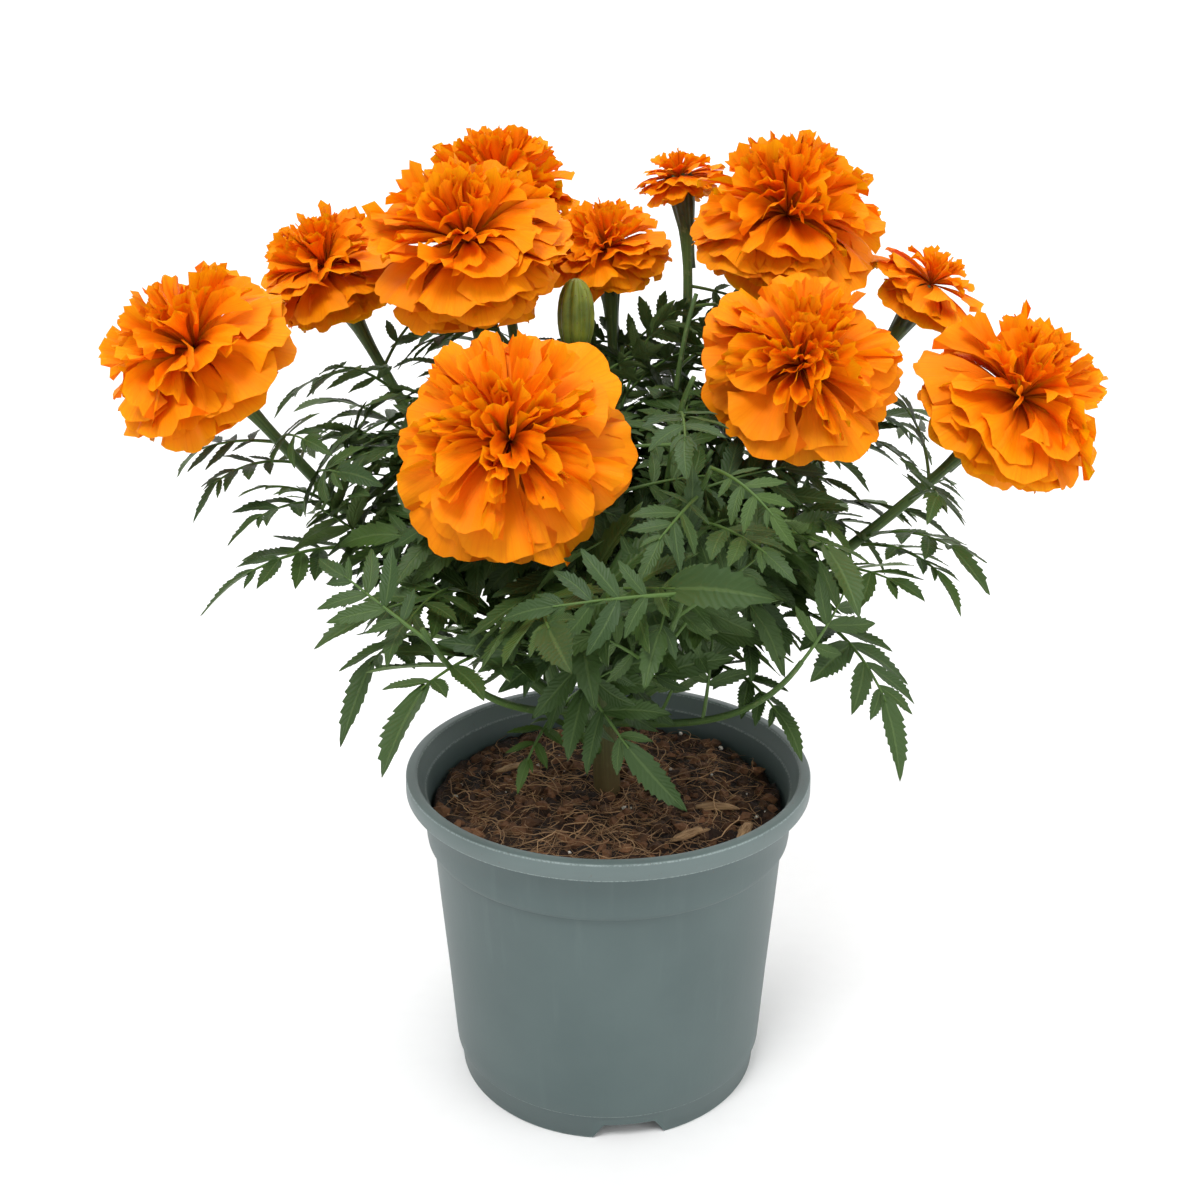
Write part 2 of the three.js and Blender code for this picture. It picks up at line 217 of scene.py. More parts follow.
def prism(body, outline, low, high, place):
    """Adds a straight prism to a bmesh: an outline in X and Z carried from low to high along Y, then placed."""
    ends = [[body.verts.new(place @ Vector((x * MM, y * MM, z * MM))) for x, z in outline] for y in (low, high)]
    body.faces.new(ends[0])
    body.faces.new(ends[1][::-1])
    for i in range(len(outline)):
        j = (i + 1) % len(outline)
        body.faces.new((ends[0][j], ends[0][i], ends[1][i], ends[1][j]))


def pot_cutters():
    """The three drainage notches in the foot and the seven holes in the floor, as one mesh to cut away."""
    body = bmesh.new()
    notch = [(-12.6, -1), (12.6, -1), (12.5, 0), (9.2, 5.2), (8.2, 6.0), (-8.2, 6.0), (-9.2, 5.2), (-12.5, 0)]
    for turn in (8, 128, 248):
        prism(body, notch, -66, -44, Matrix.Rotation(math.radians(turn), 4, "Z"))
    holes = [(0, 0, 6.0)] + [(36 * math.cos(a), 36 * math.sin(a), 4.5) for a in np.arange(6) * math.pi / 3]
    for x, y, radius in holes:
        bmesh.ops.create_cone(
            body, cap_ends=True, segments=32, radius1=radius * MM, radius2=radius * MM, depth=8 * MM,
            matrix=Matrix.Translation((x * MM, y * MM, 7.5 * MM)),
        )
    return outward_mesh("pot_cutters", body, smooth=False)


def placed(name, mesh):
    piece = bpy.data.objects.new(name, mesh)
    scene.collection.objects.link(piece)
    return piece


def evaluated(piece):
    """Turns a piece and its live modifiers into one plain mesh."""
    graph = bpy.context.evaluated_depsgraph_get()
    mesh = bpy.data.meshes.new_from_object(piece.evaluated_get(graph))
    piece.modifiers.clear()
    piece.data = mesh
    return piece


pot = placed("pot_shell", revolve("pot_shell", POT_OUTLINE, POT_SIDES))
cutter = placed("pot_cutters", pot_cutters())
cut = pot.modifiers.new("cut", "BOOLEAN")
cut.object = cutter
cut.operation = "DIFFERENCE"
cut.solver = "EXACT"
evaluated(pot)
bpy.data.objects.remove(cutter)
pot.data.shade_smooth()
pot.data.set_sharp_from_angle(angle=math.radians(40))


def calc(tree, operation, *values):
    """A Math node's output, from numbers or other outputs."""
    return add(tree, "ShaderNodeMath", dict(enumerate(values)), operation=operation).outputs[0]


def times(tree, a, b):
    return calc(tree, "MULTIPLY", a, b)


def plus(tree, a, b):
    return calc(tree, "ADD", a, b)


def minus(tree, a, b):
    return calc(tree, "SUBTRACT", a, b)


def noise_of(tree, place, scale, detail):
    return add(tree, "ShaderNodeTexNoise", {"Vector": place, "Scale": scale, "Detail": detail}).outputs["Fac"]


def object_place(tree):
    return add(tree, "ShaderNodeTexCoord").outputs["Object"]


def attribute(tree, name):
    return add(tree, "ShaderNodeAttribute", attribute_name=name).outputs["Fac"]


def blended(tree, factor, low, high):
    """A colour between two others, each a triple or an output."""
    mix = add(tree, "ShaderNodeMix", {"Factor": factor}, data_type="RGBA")
    for key, colour in (("A", low), ("B", high)):
        if isinstance(colour, bpy.types.NodeSocket):
            tree.links.new(colour, mix.inputs[key])
        else:
            mix.inputs[key].default_value = (*colour, 1)
    return mix.outputs["Result"]


def ramp(tree, value, low, high):
    """Rises smoothly from 0 to 1 as a value goes from low to high."""
    sockets = {"Value": value, "From Min": low, "From Max": high}
    return add(tree, "ShaderNodeMapRange", sockets, interpolation_type="SMOOTHSTEP").outputs["Result"]


def bumped(tree, shader, height, strength, distance):
    bump = add(tree, "ShaderNodeBump", {"Height": height, "Strength": strength, "Distance": distance})
    tree.links.new(bump.outputs["Normal"], shader.inputs["Normal"])


def pot_plastic():
    material, tree, shader = new_material("pot_plastic", IOR=1.48)
    place = object_place(tree)
    height = add(tree, "ShaderNodeSeparateXYZ", {0: place}).outputs["Z"]
    cloud = noise_of(tree, place, 26.0, 5.0)
    grit = noise_of(tree, place, 900.0, 3.0)
    upright = add(tree, "ShaderNodeMapping", {"Vector": place, "Scale": (1.0, 1.0, 0.08)}).outputs[0]
    streak = noise_of(tree, upright, 210.0, 3.0)
    scuff = noise_of(tree, place, 1300.0, 4.0)
    # Even moulded colour, a little clouded, with faint upright drag marks from the mould.
    colour = blended(tree, ramp(tree, cloud, 0.3, 0.7), (0.068, 0.102, 0.101), (0.082, 0.119, 0.117))
    colour = blended(tree, times(tree, ramp(tree, streak, 0.56, 0.8), 0.15), colour, (0.125, 0.172, 0.170))
    # Painted highlight: the lip is painted a shade paler than the wall, standing in for the light that falls on it.
    lip_highlight = times(tree, ramp(tree, height, 108.7 * MM, 109.4 * MM), 0.6)
    colour = blended(tree, lip_highlight, colour, (0.150, 0.195, 0.190))
    # The edges are rubbed paler: round the lip's top and foot, and along the foot line.
    rubbed = None
    for level, reach in ((114.5, 0.4), (109.1, 0.5), (10.1, 0.4), (0.3, 0.6)):
        off = calc(tree, "ABSOLUTE", minus(tree, height, level * MM))
        line = minus(tree, 1.0, ramp(tree, off, 0.1 * reach * MM, reach * MM))
        rubbed = line if rubbed is None else calc(tree, "MAXIMUM", rubbed, line)
    worn = times(tree, rubbed, ramp(tree, scuff, 0.30, 0.66))
    colour = blended(tree, times(tree, worn, 0.8), colour, (0.30, 0.36, 0.35))
    # Dust from the potting bench lies in specks on the collar and on the lip.
    dust = times(tree, ramp(tree, grit, 0.66, 0.74), ramp(tree, height, 85 * MM, 114 * MM))
    colour = blended(tree, times(tree, dust, 0.35), colour, (0.12, 0.08, 0.05))
    tree.links.new(colour, shader.inputs["Base Color"])
    rough = plus(tree, 0.40, times(tree, cloud, 0.16))
    rough = plus(tree, rough, times(tree, worn, 0.2))
    tree.links.new(rough, shader.inputs["Roughness"])
    bumped(tree, shader, plus(tree, grit, times(tree, streak, 0.8)), 0.12, 0.25 * MM)
    return material


def finished(piece, body_slot, *replaced, material=None):
    """Gives a piece its material and its body, and hides the CAD nodes that it stands for. body_slot is not used."""
    if material:
        piece.data.materials.clear()
        piece.data.materials.append(material)
    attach(piece, "root")
    if replaced:
        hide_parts(*replaced)


finished(pot, "pot_plastic", "pot", material=pot_plastic())


# ---------------------------------------------------------------- the root ball
# Shredded coconut coir with a little perlite, pressed round the roots by hand, so that it lies in low lumps
# and stands about a finger's width under the lip.
soil_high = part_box("growing_medium")[1]
SOIL_RADIUS = soil_high.x - 0.6 * MM
SOIL_TOP = 0.1030
SOIL_RINGS, SOIL_SIDES = 46, 150


def soil_level(x, y):
    """Height of the root ball's top at a place: broad lumps, clods and crumbs, lower against the wall."""
    out = math.hypot(x, y) / SOIL_RADIUS
    low = noise.noise(Vector((x * 38, y * 38, 1.7))) * 2.6
    clods = (0.45 - abs(noise.noise(Vector((x * 105, y * 105, 4.2))))) * 4.6
    crumbs = noise.fractal(Vector((x * 260, y * 260, 9.1)), 0.7, 2.1, 3) * 1.3
    return SOIL_TOP + (low * (1 - 0.6 * out) + clods + crumbs - 3.2 * out**3) * MM


def root_ball():
    body = bmesh.new()
    rings = []
    for k in range(1, SOIL_RINGS + 1):
        radius = SOIL_RADIUS * k / SOIL_RINGS
        ring = []
        for i in range(SOIL_SIDES):
            turn = 2 * math.pi * (i + 0.5 * (k % 2)) / SOIL_SIDES
            x, y = radius * math.cos(turn), radius * math.sin(turn)
            ring.append(body.verts.new((x, y, soil_level(x, y))))
        rings.append(ring)
    for radius, height in ((60.0, 94.0), (59.0, 90.0), (53.1, 13.0), (50.0, 9.1)):
        turns = [2 * math.pi * i / SOIL_SIDES for i in range(SOIL_SIDES)]
        rings.append([
            body.verts.new((radius * MM * math.cos(a), radius * MM * math.sin(a), height * MM)) for a in turns
        ])
    middle = body.verts.new((0, 0, soil_level(0, 0)))
    bottom = body.verts.new((0, 0, 9.1 * MM))
    for i in range(SOIL_SIDES):
        j = (i + 1) % SOIL_SIDES
        body.faces.new((middle, rings[0][i], rings[0][j]))
        body.faces.new((bottom, rings[-1][j], rings[-1][i]))
        for inner, outer in zip(rings, rings[1:]):
            body.faces.new((inner[i], outer[i], outer[j], inner[j]))
    return outward_mesh("root_ball", body)


def coir(name, dark, pale, bump):
    """Coir in its lump: dark brown pith with paler threads in it. Loose bits carry a shade of their own."""
    material, tree, shader = new_material(name, Roughness=0.92)
    place = object_place(tree)
    own = attribute(tree, "shade")
    cloud = noise_of(tree, place, 120.0, 6.0)
    crumb = add(tree, "ShaderNodeTexVoronoi", {"Vector": place, "Scale": 620.0}).outputs["Distance"]
    thread = noise_of(tree, place, 900.0, 4.0)
    shade = plus(tree, times(tree, ramp(tree, cloud, 0.3, 0.75), 0.5), times(tree, own, 0.7))
    shade = plus(tree, shade, times(tree, ramp(tree, thread, 0.55, 0.8), 0.2))
    tree.links.new(blended(tree, shade, dark, pale), shader.inputs["Base Color"])
    bumped(tree, shader, plus(tree, thread, crumb), bump, 0.9 * MM)
    return material


soil = placed("root_ball", root_ball())
pith = coir("coir_pith", (0.011, 0.005, 0.003), (0.115, 0.050, 0.022), 0.9)
finished(soil, "coir_mix", "growing_medium", material=pith)


def closed_mesh(name, points, faces, attributes=None):
    """A mesh from points and faces, with float attributes given for each face corner."""
    mesh = bpy.data.meshes.new(name)
    mesh.from_pydata([tuple(p) for p in points], [], faces)
    for key, values in (attributes or {}).items():
        mesh.attributes.new(key, "FLOAT", "CORNER").data.foreach_set("value", values)
    mesh.shade_smooth()
    return mesh


def shelf(name, meshes):
    """A collection of shapes for a tree to pick from, in the order of their names."""
    collection = bpy.data.collections.new(name)
    for i, mesh in enumerate(meshes):
        collection.objects.link(bpy.data.objects.new(f"{name}_{i:02d}", mesh))
    return collection


def cleared(collection):
    for piece in list(collection.objects):
        bpy.data.objects.remove(piece)
    bpy.data.collections.remove(collection)


def thread_shape(name, seed):
    """One coir thread a unit long: a thin three-sided tube that wanders."""
    rng = random.Random(seed)
    steps, radius = 7, 0.010
    swing = [rng.uniform(-0.5, 0.5) for _ in range(4)]
    points, faces = [], []
    for k in range(steps + 1):
        t = k / steps
        x = 1.1 * swing[0] * math.sin(math.pi * t) + 0.25 * swing[1] * math.sin(3 * math.pi * t)
        z = 0.34 * abs(swing[2]) * math.sin(math.pi * t) + 0.10 * swing[3] * math.sin(2 * math.pi * t)
        thick = radius * (1 - 0.6 * abs(2 * t - 1) ** 3)
        for i in range(3):
            a = 2 * math.pi * i / 3
            points.append((x + thick * math.cos(a), t - 0.5, z + thick * math.sin(a)))
    for k in range(steps):
        for i in range(3):
            j = (i + 1) % 3
            faces.append((3 * k + i, 3 * k + 3 + i, 3 * k + 3 + j, 3 * k + j))
    faces += [(0, 1, 2), (3 * steps + 2, 3 * steps + 1, 3 * steps)]
    return closed_mesh(name, points, faces)


def lump_shape(name, seed, flat):
    """One crumb a unit across: a small broken lump."""
    body = bmesh.new()
    bmesh.ops.create_icosphere(body, subdivisions=1, radius=0.5)
    for v in body.verts:
        v.co *= 1 + 0.55 * noise.noise(v.co * 2.3 + Vector((seed, 0, 0)))
        v.co.z *= flat
    mesh = bpy.data.meshes.new(name)
    body.to_mesh(mesh)
    return mesh


def new_tree(name, inputs):
    """A geometry tree with its group input and output, and named inputs with their defaults."""
    tree = bpy.data.node_groups.new(name, "GeometryNodeTree")
    tree.interface.new_socket("Geometry", in_out="INPUT", socket_type="NodeSocketGeometry")
    tree.interface.new_socket("Geometry", in_out="OUTPUT", socket_type="NodeSocketGeometry")
    for label, (kind, default) in inputs.items():
        socket = tree.interface.new_socket(label, in_out="INPUT", socket_type="NodeSocket" + kind)
        if default is not None:
            socket.default_value = default
    return tree, tree.nodes.new("NodeGroupInput"), tree.nodes.new("NodeGroupOutput")


def picked(tree, given, label):
    """The shapes on a shelf, each as its own instance."""
    return add(tree, "GeometryNodeCollectionInfo", {
        "Collection": given.outputs[label], "Separate Children": True, "Reset Children": True,
    }).outputs[0]


def marked(tree, geometry, name, value, domain="INSTANCE"):
    """The geometry with a named float attribute."""
    return add(tree, "GeometryNodeStoreNamedAttribute", {
        "Geometry": geometry, "Name": name, "Value": value,
    }, data_type="FLOAT", domain=domain).outputs[0]


def real(tree, geometry):
    return add(tree, "GeometryNodeRealizeInstances", {"Geometry": geometry}).outputs[0]


def handed_out(tree, geometry, given, result):
    """The tree's result: the geometry in the material given."""
    painted = add(tree, "GeometryNodeSetMaterial", {"Geometry": geometry, "Material": given.outputs["Material"]})
    tree.links.new(painted.outputs[0], result.inputs["Geometry"])
    return tree


def turned_by(tree, x, y, z):
    """A rotation from three angles."""
    angles = add(tree, "ShaderNodeCombineXYZ", {"X": x, "Y": y, "Z": z}).outputs[0]
    return add(tree, "FunctionNodeEulerToRotation", {0: angles}).outputs[0]


def spread(tree, value, low, high):
    """Low to high as a value goes from 0 to 1."""
    return add(tree, "ShaderNodeMapRange", {"Value": value, "To Min": low, "To Max": high}).outputs["Result"]


def chance(tree, low, high, seed, number, kind="FLOAT"):
    """A fixed random value for each point, between low and high. number tells one such value from another."""
    shifted = plus(tree, times(tree, seed, 31.0), float(number))
    node = add(tree, "FunctionNodeRandomValue", {"Seed": shifted}, data_type=kind)
    low_socket, high_socket = [s for s in node.inputs if s.enabled and s.name in ("Min", "Max")]
    low_socket.default_value, high_socket.default_value = low, high
    return next(s for s in node.outputs if s.enabled)


def scatter_tree():
    """Scatters shapes from a shelf over the flatter top faces of a mesh, each turned and sized by chance."""
    tree, given, result = new_tree("scattered_bits", {
        "Shapes": ("Collection", None), "Material": ("Material", None), "Density": ("Float", 1.0),
        "Shortest": ("Float", 1.0), "Longest": ("Float", 1.0), "Lift": ("Float", 0.0), "Tilt": ("Float", 0.3),
        "Reach": ("Float", 0.05), "Seed": ("Int", 1),
    })
    seed = given.outputs["Seed"]
    here = add(tree, "ShaderNodeSeparateXYZ", {0: add(tree, "GeometryNodeInputPosition").outputs[0]})
    squares = [times(tree, here.outputs[axis], here.outputs[axis]) for axis in ("X", "Y")]
    near = calc(tree, "LESS_THAN", calc(tree, "SQRT", plus(tree, *squares)), given.outputs["Reach"])
    up = add(tree, "ShaderNodeSeparateXYZ", {0: add(tree, "GeometryNodeInputNormal").outputs[0]}).outputs["Z"]
    spots = add(tree, "GeometryNodeDistributePointsOnFaces", {
        "Mesh": given.outputs["Geometry"],
        "Selection": times(tree, near, calc(tree, "GREATER_THAN", up, 0.3)),
        "Density": given.outputs["Density"], "Seed": seed,
    })
    lean = times(tree, chance(tree, -1.0, 1.0, seed, 1), given.outputs["Tilt"])
    roll = times(tree, chance(tree, -1.0, 1.0, seed, 2), given.outputs["Tilt"])
    turn = chance(tree, 0.0, 6.2832, seed, 3)
    mostly_short = calc(tree, "POWER", chance(tree, 0.0, 1.0, seed, 4), 1.8)
    size = spread(tree, mostly_short, given.outputs["Shortest"], given.outputs["Longest"])
    stood = add(tree, "GeometryNodeInstanceOnPoints", {
        "Points": spots.outputs["Points"], "Instance": picked(tree, given, "Shapes"), "Pick Instance": True,
        "Instance Index": chance(tree, 0, 97, seed, 5, "INT"),
        "Rotation": turned_by(tree, lean, roll, turn), "Scale": size,
    })
    raised = add(tree, "GeometryNodeTranslateInstances", {
        "Instances": stood.outputs[0], "Local Space": False,
        "Translation": add(tree, "ShaderNodeCombineXYZ", {"Z": given.outputs["Lift"]}).outputs[0],
    })
    shaded = marked(tree, raised.outputs[0], "shade", chance(tree, 0.0, 1.0, seed, 6))
    return handed_out(tree, real(tree, shaded), given, result)


def grown(name, mesh, tree, **inputs):
    """A piece made by a tree from a mesh, as one plain mesh. Inputs are set by their sockets' identifiers."""
    piece = placed(name, mesh)
    modifier = piece.modifiers.new(name, "NODES")
    modifier.node_group = tree
    ids = {s.name: s.identifier for s in tree.interface.items_tree if s.in_out == "INPUT"}
    for label, value in inputs.items():
        modifier[ids[label]] = value
    return evaluated(piece)


scatter = scatter_tree()
pale_coir = coir("coir_threads", (0.070, 0.028, 0.011), (0.66, 0.40, 0.205), 0.3)
crumb_coir = coir("coir_crumbs", (0.016, 0.007, 0.003), (0.25, 0.115, 0.052), 0.8)
soil_top = soil.data.copy()
for index, shapes, paint, density, short, long, lift, tilt, reach in (
    ("coir_threads", [thread_shape(f"thread_{i}", i) for i in range(8)], pale_coir, 60000, 6, 24, 0.8, 0.3, 51),
    ("coir_hairs", [thread_shape(f"hair_{i}", 20 + i) for i in range(6)], pale_coir, 85000, 3, 10, 0.4, 0.7, 57.5),
    ("coir_crumbs", [lump_shape(f"crumb_{i}", i, 0.7) for i in range(6)], crumb_coir, 62000, 0.8, 6.4, 0.0, 0.9, 59),
):
    kept = shelf(index, shapes)
    bits = grown(index, soil_top, scatter, Shapes=kept, Material=paint, Density=float(density),
                 Shortest=short * MM, Longest=long * MM, Lift=lift * MM, Tilt=tilt, Reach=reach * MM, Seed=len(index))
    cleared(kept)
    finished(bits, "coir_mix")

perlite, tree, shader = new_material("perlite", Roughness=0.8)
place = object_place(tree)
pits = noise_of(tree, place, 1500.0, 3.0)
colour = blended(tree, ramp(tree, pits, 0.35, 0.6), (0.42, 0.36, 0.28), (0.86, 0.84, 0.78))
tree.links.new(colour, shader.inputs["Base Color"])
bumped(tree, shader, pits, 0.7, 0.4 * MM)
kept = shelf("perlite_shapes", [lump_shape(f"perlite_{i}", 50 + i, 0.85) for i in range(4)])
beads = grown("perlite_beads", soil_top, scatter, Shapes=kept, Material=perlite, Density=2100.0,
              Shortest=0.6 * MM, Longest=2.5 * MM, Lift=0.7 * MM, Tilt=1.2, Reach=58 * MM, Seed=5)
cleared(kept)
finished(beads, "coir_mix")


# ---------------------------------------------------------------- bark chips
# Slivers of composted pine bark that came with the potting mix and lie on top of it. They are torn along the
# grain, so their sides are ragged and their faces ridged.
def bark():
    material, tree, shader = new_material("torn_bark", Roughness=0.85)
    grain = add(tree, "ShaderNodeUVMap", uv_map="UVMap").outputs[0]
    along = add(tree, "ShaderNodeMapping", {"Vector": grain, "Scale": (1.5, 26.0, 1.0)}).outputs[0]
    fibre = noise_of(tree, along, 2.0, 6.0)
    colour = blended(tree, ramp(tree, fibre, 0.3, 0.7), (0.17, 0.080, 0.032), (0.64, 0.40, 0.20))
    tree.links.new(colour, shader.inputs["Base Color"])
    bumped(tree, shader, fibre, 0.8, 0.8 * MM)
    return material


def skinned(bm, rings, uv, uv_from):
    """Faces between rings of vertices. Each corner's UV comes from its shares of the way along and round."""
    around, last = len(rings[0]), len(rings) - 1
    for k in range(last):
        for i in range(around):
            j = (i + 1) % around
            face = bm.faces.new((rings[k][i], rings[k][j], rings[k + 1][j], rings[k + 1][i]))
            for loop, (s, r) in zip(face.loops, ((k, i), (k, i + 1), (k + 1, i + 1), (k + 1, i))):
                loop[uv].uv = uv_from(s / last, r / around)


def sliver(name, low, high, turn, seed):
    """A torn sliver that fills a box, turned about +Z: a bent bar, thin at its ends, with ragged sides."""
    rng = random.Random(seed)
    middle = (low + high) / 2
    long = 0.5 * max(high.x - low.x, high.y - low.y) / max(abs(math.cos(turn)), abs(math.sin(turn)))
    steps, around = 12, 8
    bm = bmesh.new()
    uv = bm.loops.layers.uv.new("UVMap")
    rings = []
    for k in range(steps + 1):
        t = 2 * k / steps - 1
        taper = (1 - abs(t) ** 3) * 0.75 + 0.12
        ring = []
        for i in range(around):
            a = 2 * math.pi * i / around
            rag = 1 + rng.uniform(-0.16, 0.16)
            y = long * 0.33 * taper * math.cos(a) * rag
            z = (high.z - low.z) * 0.42 * taper * math.sin(a) * rag
            ring.append(bm.verts.new((long * t, y + 0.0006 * math.sin(2.4 * t), z - 0.0007 * t * t)))
        rings.append(ring)
    skinned(bm, rings, uv, lambda along, across: (along, across))
    bm.faces.new(rings[0])
    bm.faces.new(rings[-1][::-1])
    bm.transform(Matrix.Translation(middle) @ Matrix.Rotation(turn, 4, "Z"))
    mesh = outward_mesh(name, bm)
    mesh.set_sharp_from_angle(angle=math.radians(50))
    return mesh


x, y = -3 * MM, -50 * MM
z = soil_level(x, y) + 1.2 * MM
corners = Vector((x - 3 * MM, y - 0.6 * MM, z)), Vector((x + 3 * MM, y + 0.6 * MM, z + 1.3 * MM))
splinter = placed("perlite_splinter", sliver("perlite_splinter", *corners, math.radians(24), 9))
finished(splinter, "coir_mix", material=perlite)
bark_finish = bark()
for i, turn in enumerate((28, -8, 60, 22), 1):
    low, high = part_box(f"bark_chip_{i}")
    chip = placed(f"bark_sliver_{i}", sliver(f"bark_sliver_{i}", low, high, math.radians(turn), i))
    finished(chip, "bark", f"bark_chip_{i}", material=bark_finish)


# ---------------------------------------------------------------- stems
# Green herbaceous stems, angular and faintly ribbed, browner and corky at the soil. Side stems leave the
# main stem outwards and end in a bare stalk under each flower head.
def corners_of(node):
    mesh = nodes[node].data
    flat = np.empty(3 * len(mesh.vertices), np.float32)
    mesh.vertices.foreach_get("co", flat)
    return np.unique(np.round(flat.reshape(-1, 3).astype(float), 6), axis=0)


def unit(v):
    return v / np.linalg.norm(v)


def head_frame(node):
    """A flower head's middle, the way it faces, its radius, and its dome's height beside that radius."""
    corners = corners_of(node)
    middle = corners.mean(0)
    axis = np.linalg.eigh(np.cov((corners - middle).T))[1][:, 0]
    axis = axis * np.sign(axis[2])
    along = (corners - middle) @ axis
    radius = np.linalg.norm(corners - middle - np.outer(along, axis), axis=1).max()
    at = middle + axis * (along.min() + 0.4 * radius)
    return {"at": at, "faces": axis, "radius": radius, "dome": (along.max() - along.min()) / radius - 0.4}


HEAD_COUNT = sum(name.startswith("flower_head_") for name in nodes)
heads = [head_frame(f"flower_head_{i + 1}") for i in range(HEAD_COUNT)]
bud_low, bud_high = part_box("bud")
bud_foot = np.array([(bud_low.x + bud_high.x) / 2, (bud_low.y + bud_high.y) / 2 + 0.0004, bud_low.z])
MAIN_TOP = np.array([1, 5, 186]) * MM


def main_axis(z):
    """The main stem's middle line: upright in the soil, then leaning a little."""
    share = max(0.0, (z - SOIL_TOP) / (MAIN_TOP[2] - SOIL_TOP))
    lean = share * (1 - share) * 4
    return np.array([MAIN_TOP[0] * share**2 - 0.0018 * lean, MAIN_TOP[1] * share**1.6, z])


def bezier(p0, p1, p2, p3, t):
    t = np.asarray(t)[:, None]
    return (1 - t) ** 3 * p0 + 3 * (1 - t) ** 2 * t * p1 + 3 * (1 - t) * t**2 * p2 + t**3 * p3


def even_line(points, count):
    """The same line with its points evenly spaced."""
    run = np.concatenate([[0], np.cumsum(np.linalg.norm(np.diff(points, axis=0), axis=1))])
    want = np.linspace(0, run[-1], count)
    return np.stack([np.interp(want, run, points[:, k]) for k in range(3)], axis=1)


def side_line(start_height, end, way):
    """A side stem's middle line, out of the main stem and into its head along the way the head faces."""
    start = main_axis(start_height)
    span = np.linalg.norm(end - start)
    leave = np.array([*(0.8 * unit((end - start)[:2])), 0.6])
    control = (start, start + leave * span * 0.38, end - way * span * 0.4, end)
    return even_line(bezier(*control, np.linspace(0, 1, 80)), 42)


lines = [
    side_line(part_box(f"flower_stem_{i + 1}")[0].z - 0.6 * MM,
              head["at"] - head["faces"] * head["radius"] * 0.16, head["faces"])
    for i, head in enumerate(heads)
]
bud_line = side_line(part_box("bud_stem")[0].z + 0.4 * MM, bud_foot, np.array([0, -0.04, 1.0]))
main_line = np.array([main_axis(z) for z in np.linspace(0.085, MAIN_TOP[2], 30)])


def tube(name, line, radius_at, sides=14, ribs=0.06, knots=()):
    """A closed tube along a line, with six faint ribs, swollen at its knots. Its UVs run round and along it."""
    tangents = np.gradient(line, axis=0)
    side = unit(np.cross(tangents[0], [0.3, -1, 0.2]))
    bm = bmesh.new()
    uv = bm.loops.layers.uv.new("UVMap")
    rings = []
    for k, (middle, along) in enumerate(zip(line, tangents)):
        along = unit(along)
        side = unit(side - along * (side @ along))
        other = np.cross(along, side)
        share = k / (len(line) - 1)
        swell = 1 + sum(0.35 * math.exp(-(((share - knot) / 0.018) ** 2)) for knot in knots)
        ring = []
        for i in range(sides):
            a = 2 * math.pi * i / sides
            r = radius_at(share) * swell * (1 + ribs * math.cos(6 * a))
            ring.append(bm.verts.new(middle + r * (math.cos(a) * side + math.sin(a) * other)))
        rings.append(ring)
    skinned(bm, rings, uv, lambda along, across: (across, along))
    bm.faces.new(rings[0][::-1])
    bm.faces.new(rings[-1])
    return outward_mesh(name, bm)


def stem_skin(name, young, old, corky):
    """Stem skin: green, streaked along its ribs, old and brown near the soil where corky is more than 0."""
    material, tree, shader = new_material(name, Roughness=0.5, Specular_IOR_Level=0.3)
    place = object_place(tree)
    height = add(tree, "ShaderNodeSeparateXYZ", {0: place}).outputs["Z"]
    round_it = add(tree, "ShaderNodeUVMap", uv_map="UVMap").outputs[0]
    long = add(tree, "ShaderNodeMapping", {"Vector": round_it, "Scale": (14.0, 2.2, 1.0)}).outputs[0]
    streak = noise_of(tree, long, 3.0, 4.0)
    spot = noise_of(tree, place, 420.0, 3.0)
    colour = blended(tree, ramp(tree, streak, 0.3, 0.72), old, young)
    colour = blended(tree, times(tree, ramp(tree, spot, 0.6, 0.72), 0.3), colour, (0.24, 0.26, 0.11))
    woody = times(tree, minus(tree, 1.0, ramp(tree, height, 0.104, 0.150)), corky)
    colour = blended(tree, woody, colour, (0.115, 0.075, 0.032))
    tree.links.new(colour, shader.inputs["Base Color"])
    bumped(tree, shader, plus(tree, streak, times(tree, spot, 0.5)), 0.5, 0.4 * MM)
    return material


green_stem = stem_skin("green_stem", (0.085, 0.150, 0.030), (0.040, 0.085, 0.022), 0.0)
woody_stem = stem_skin("woody_stem", (0.100, 0.150, 0.038), (0.055, 0.082, 0.022), 0.85)
shape = tube("main_stem_skin", main_line, lambda s: (5.0 - 1.7 * s) * MM, 20, 0.05, (0.5, 0.72, 0.9))
finished(placed("main_stem_skin", shape), "woody_stem", "main_stem", material=woody_stem)

CALYX_LENGTH = 0.030


def stalk_radius(line, calyx):
    """Radius of a side stem along its line, thinning upwards and flaring a little into its calyx."""
    length = np.linalg.norm(np.diff(line, axis=0), axis=1).sum()

    def radius_at(share):
        flare = min(1.0, max(0.0, (share * length - (length - CALYX_LENGTH)) / CALYX_LENGTH))
        plain = (2.4 - 0.7 * share) * MM
        return plain + (calyx * 0.82 - plain) * flare**2 * (3 - 2 * flare)

    return radius_at


calyx_radii = [(5.6 * MM) * (0.6 + 0.4 * head["radius"] / 0.036) for head in heads]
for i, (line, calyx) in enumerate(zip(lines, calyx_radii), 1):
    shape = tube(f"side_stem_{i}", line, stalk_radius(line, calyx), 14, 0.05, (0.3, 0.5))
    finished(placed(f"side_stem_{i}", shape), "stem_green", f"flower_stem_{i}", material=green_stem)
shape = tube("bud_stalk", bud_line, lambda s: (2.1 - 0.6 * s + 0.9 * max(0, s - 0.86) / 0.14) * MM, 12, 0.05, (0.25,))
finished(placed("bud_stalk", shape), "stem_green", "bud_stem", material=green_stem)
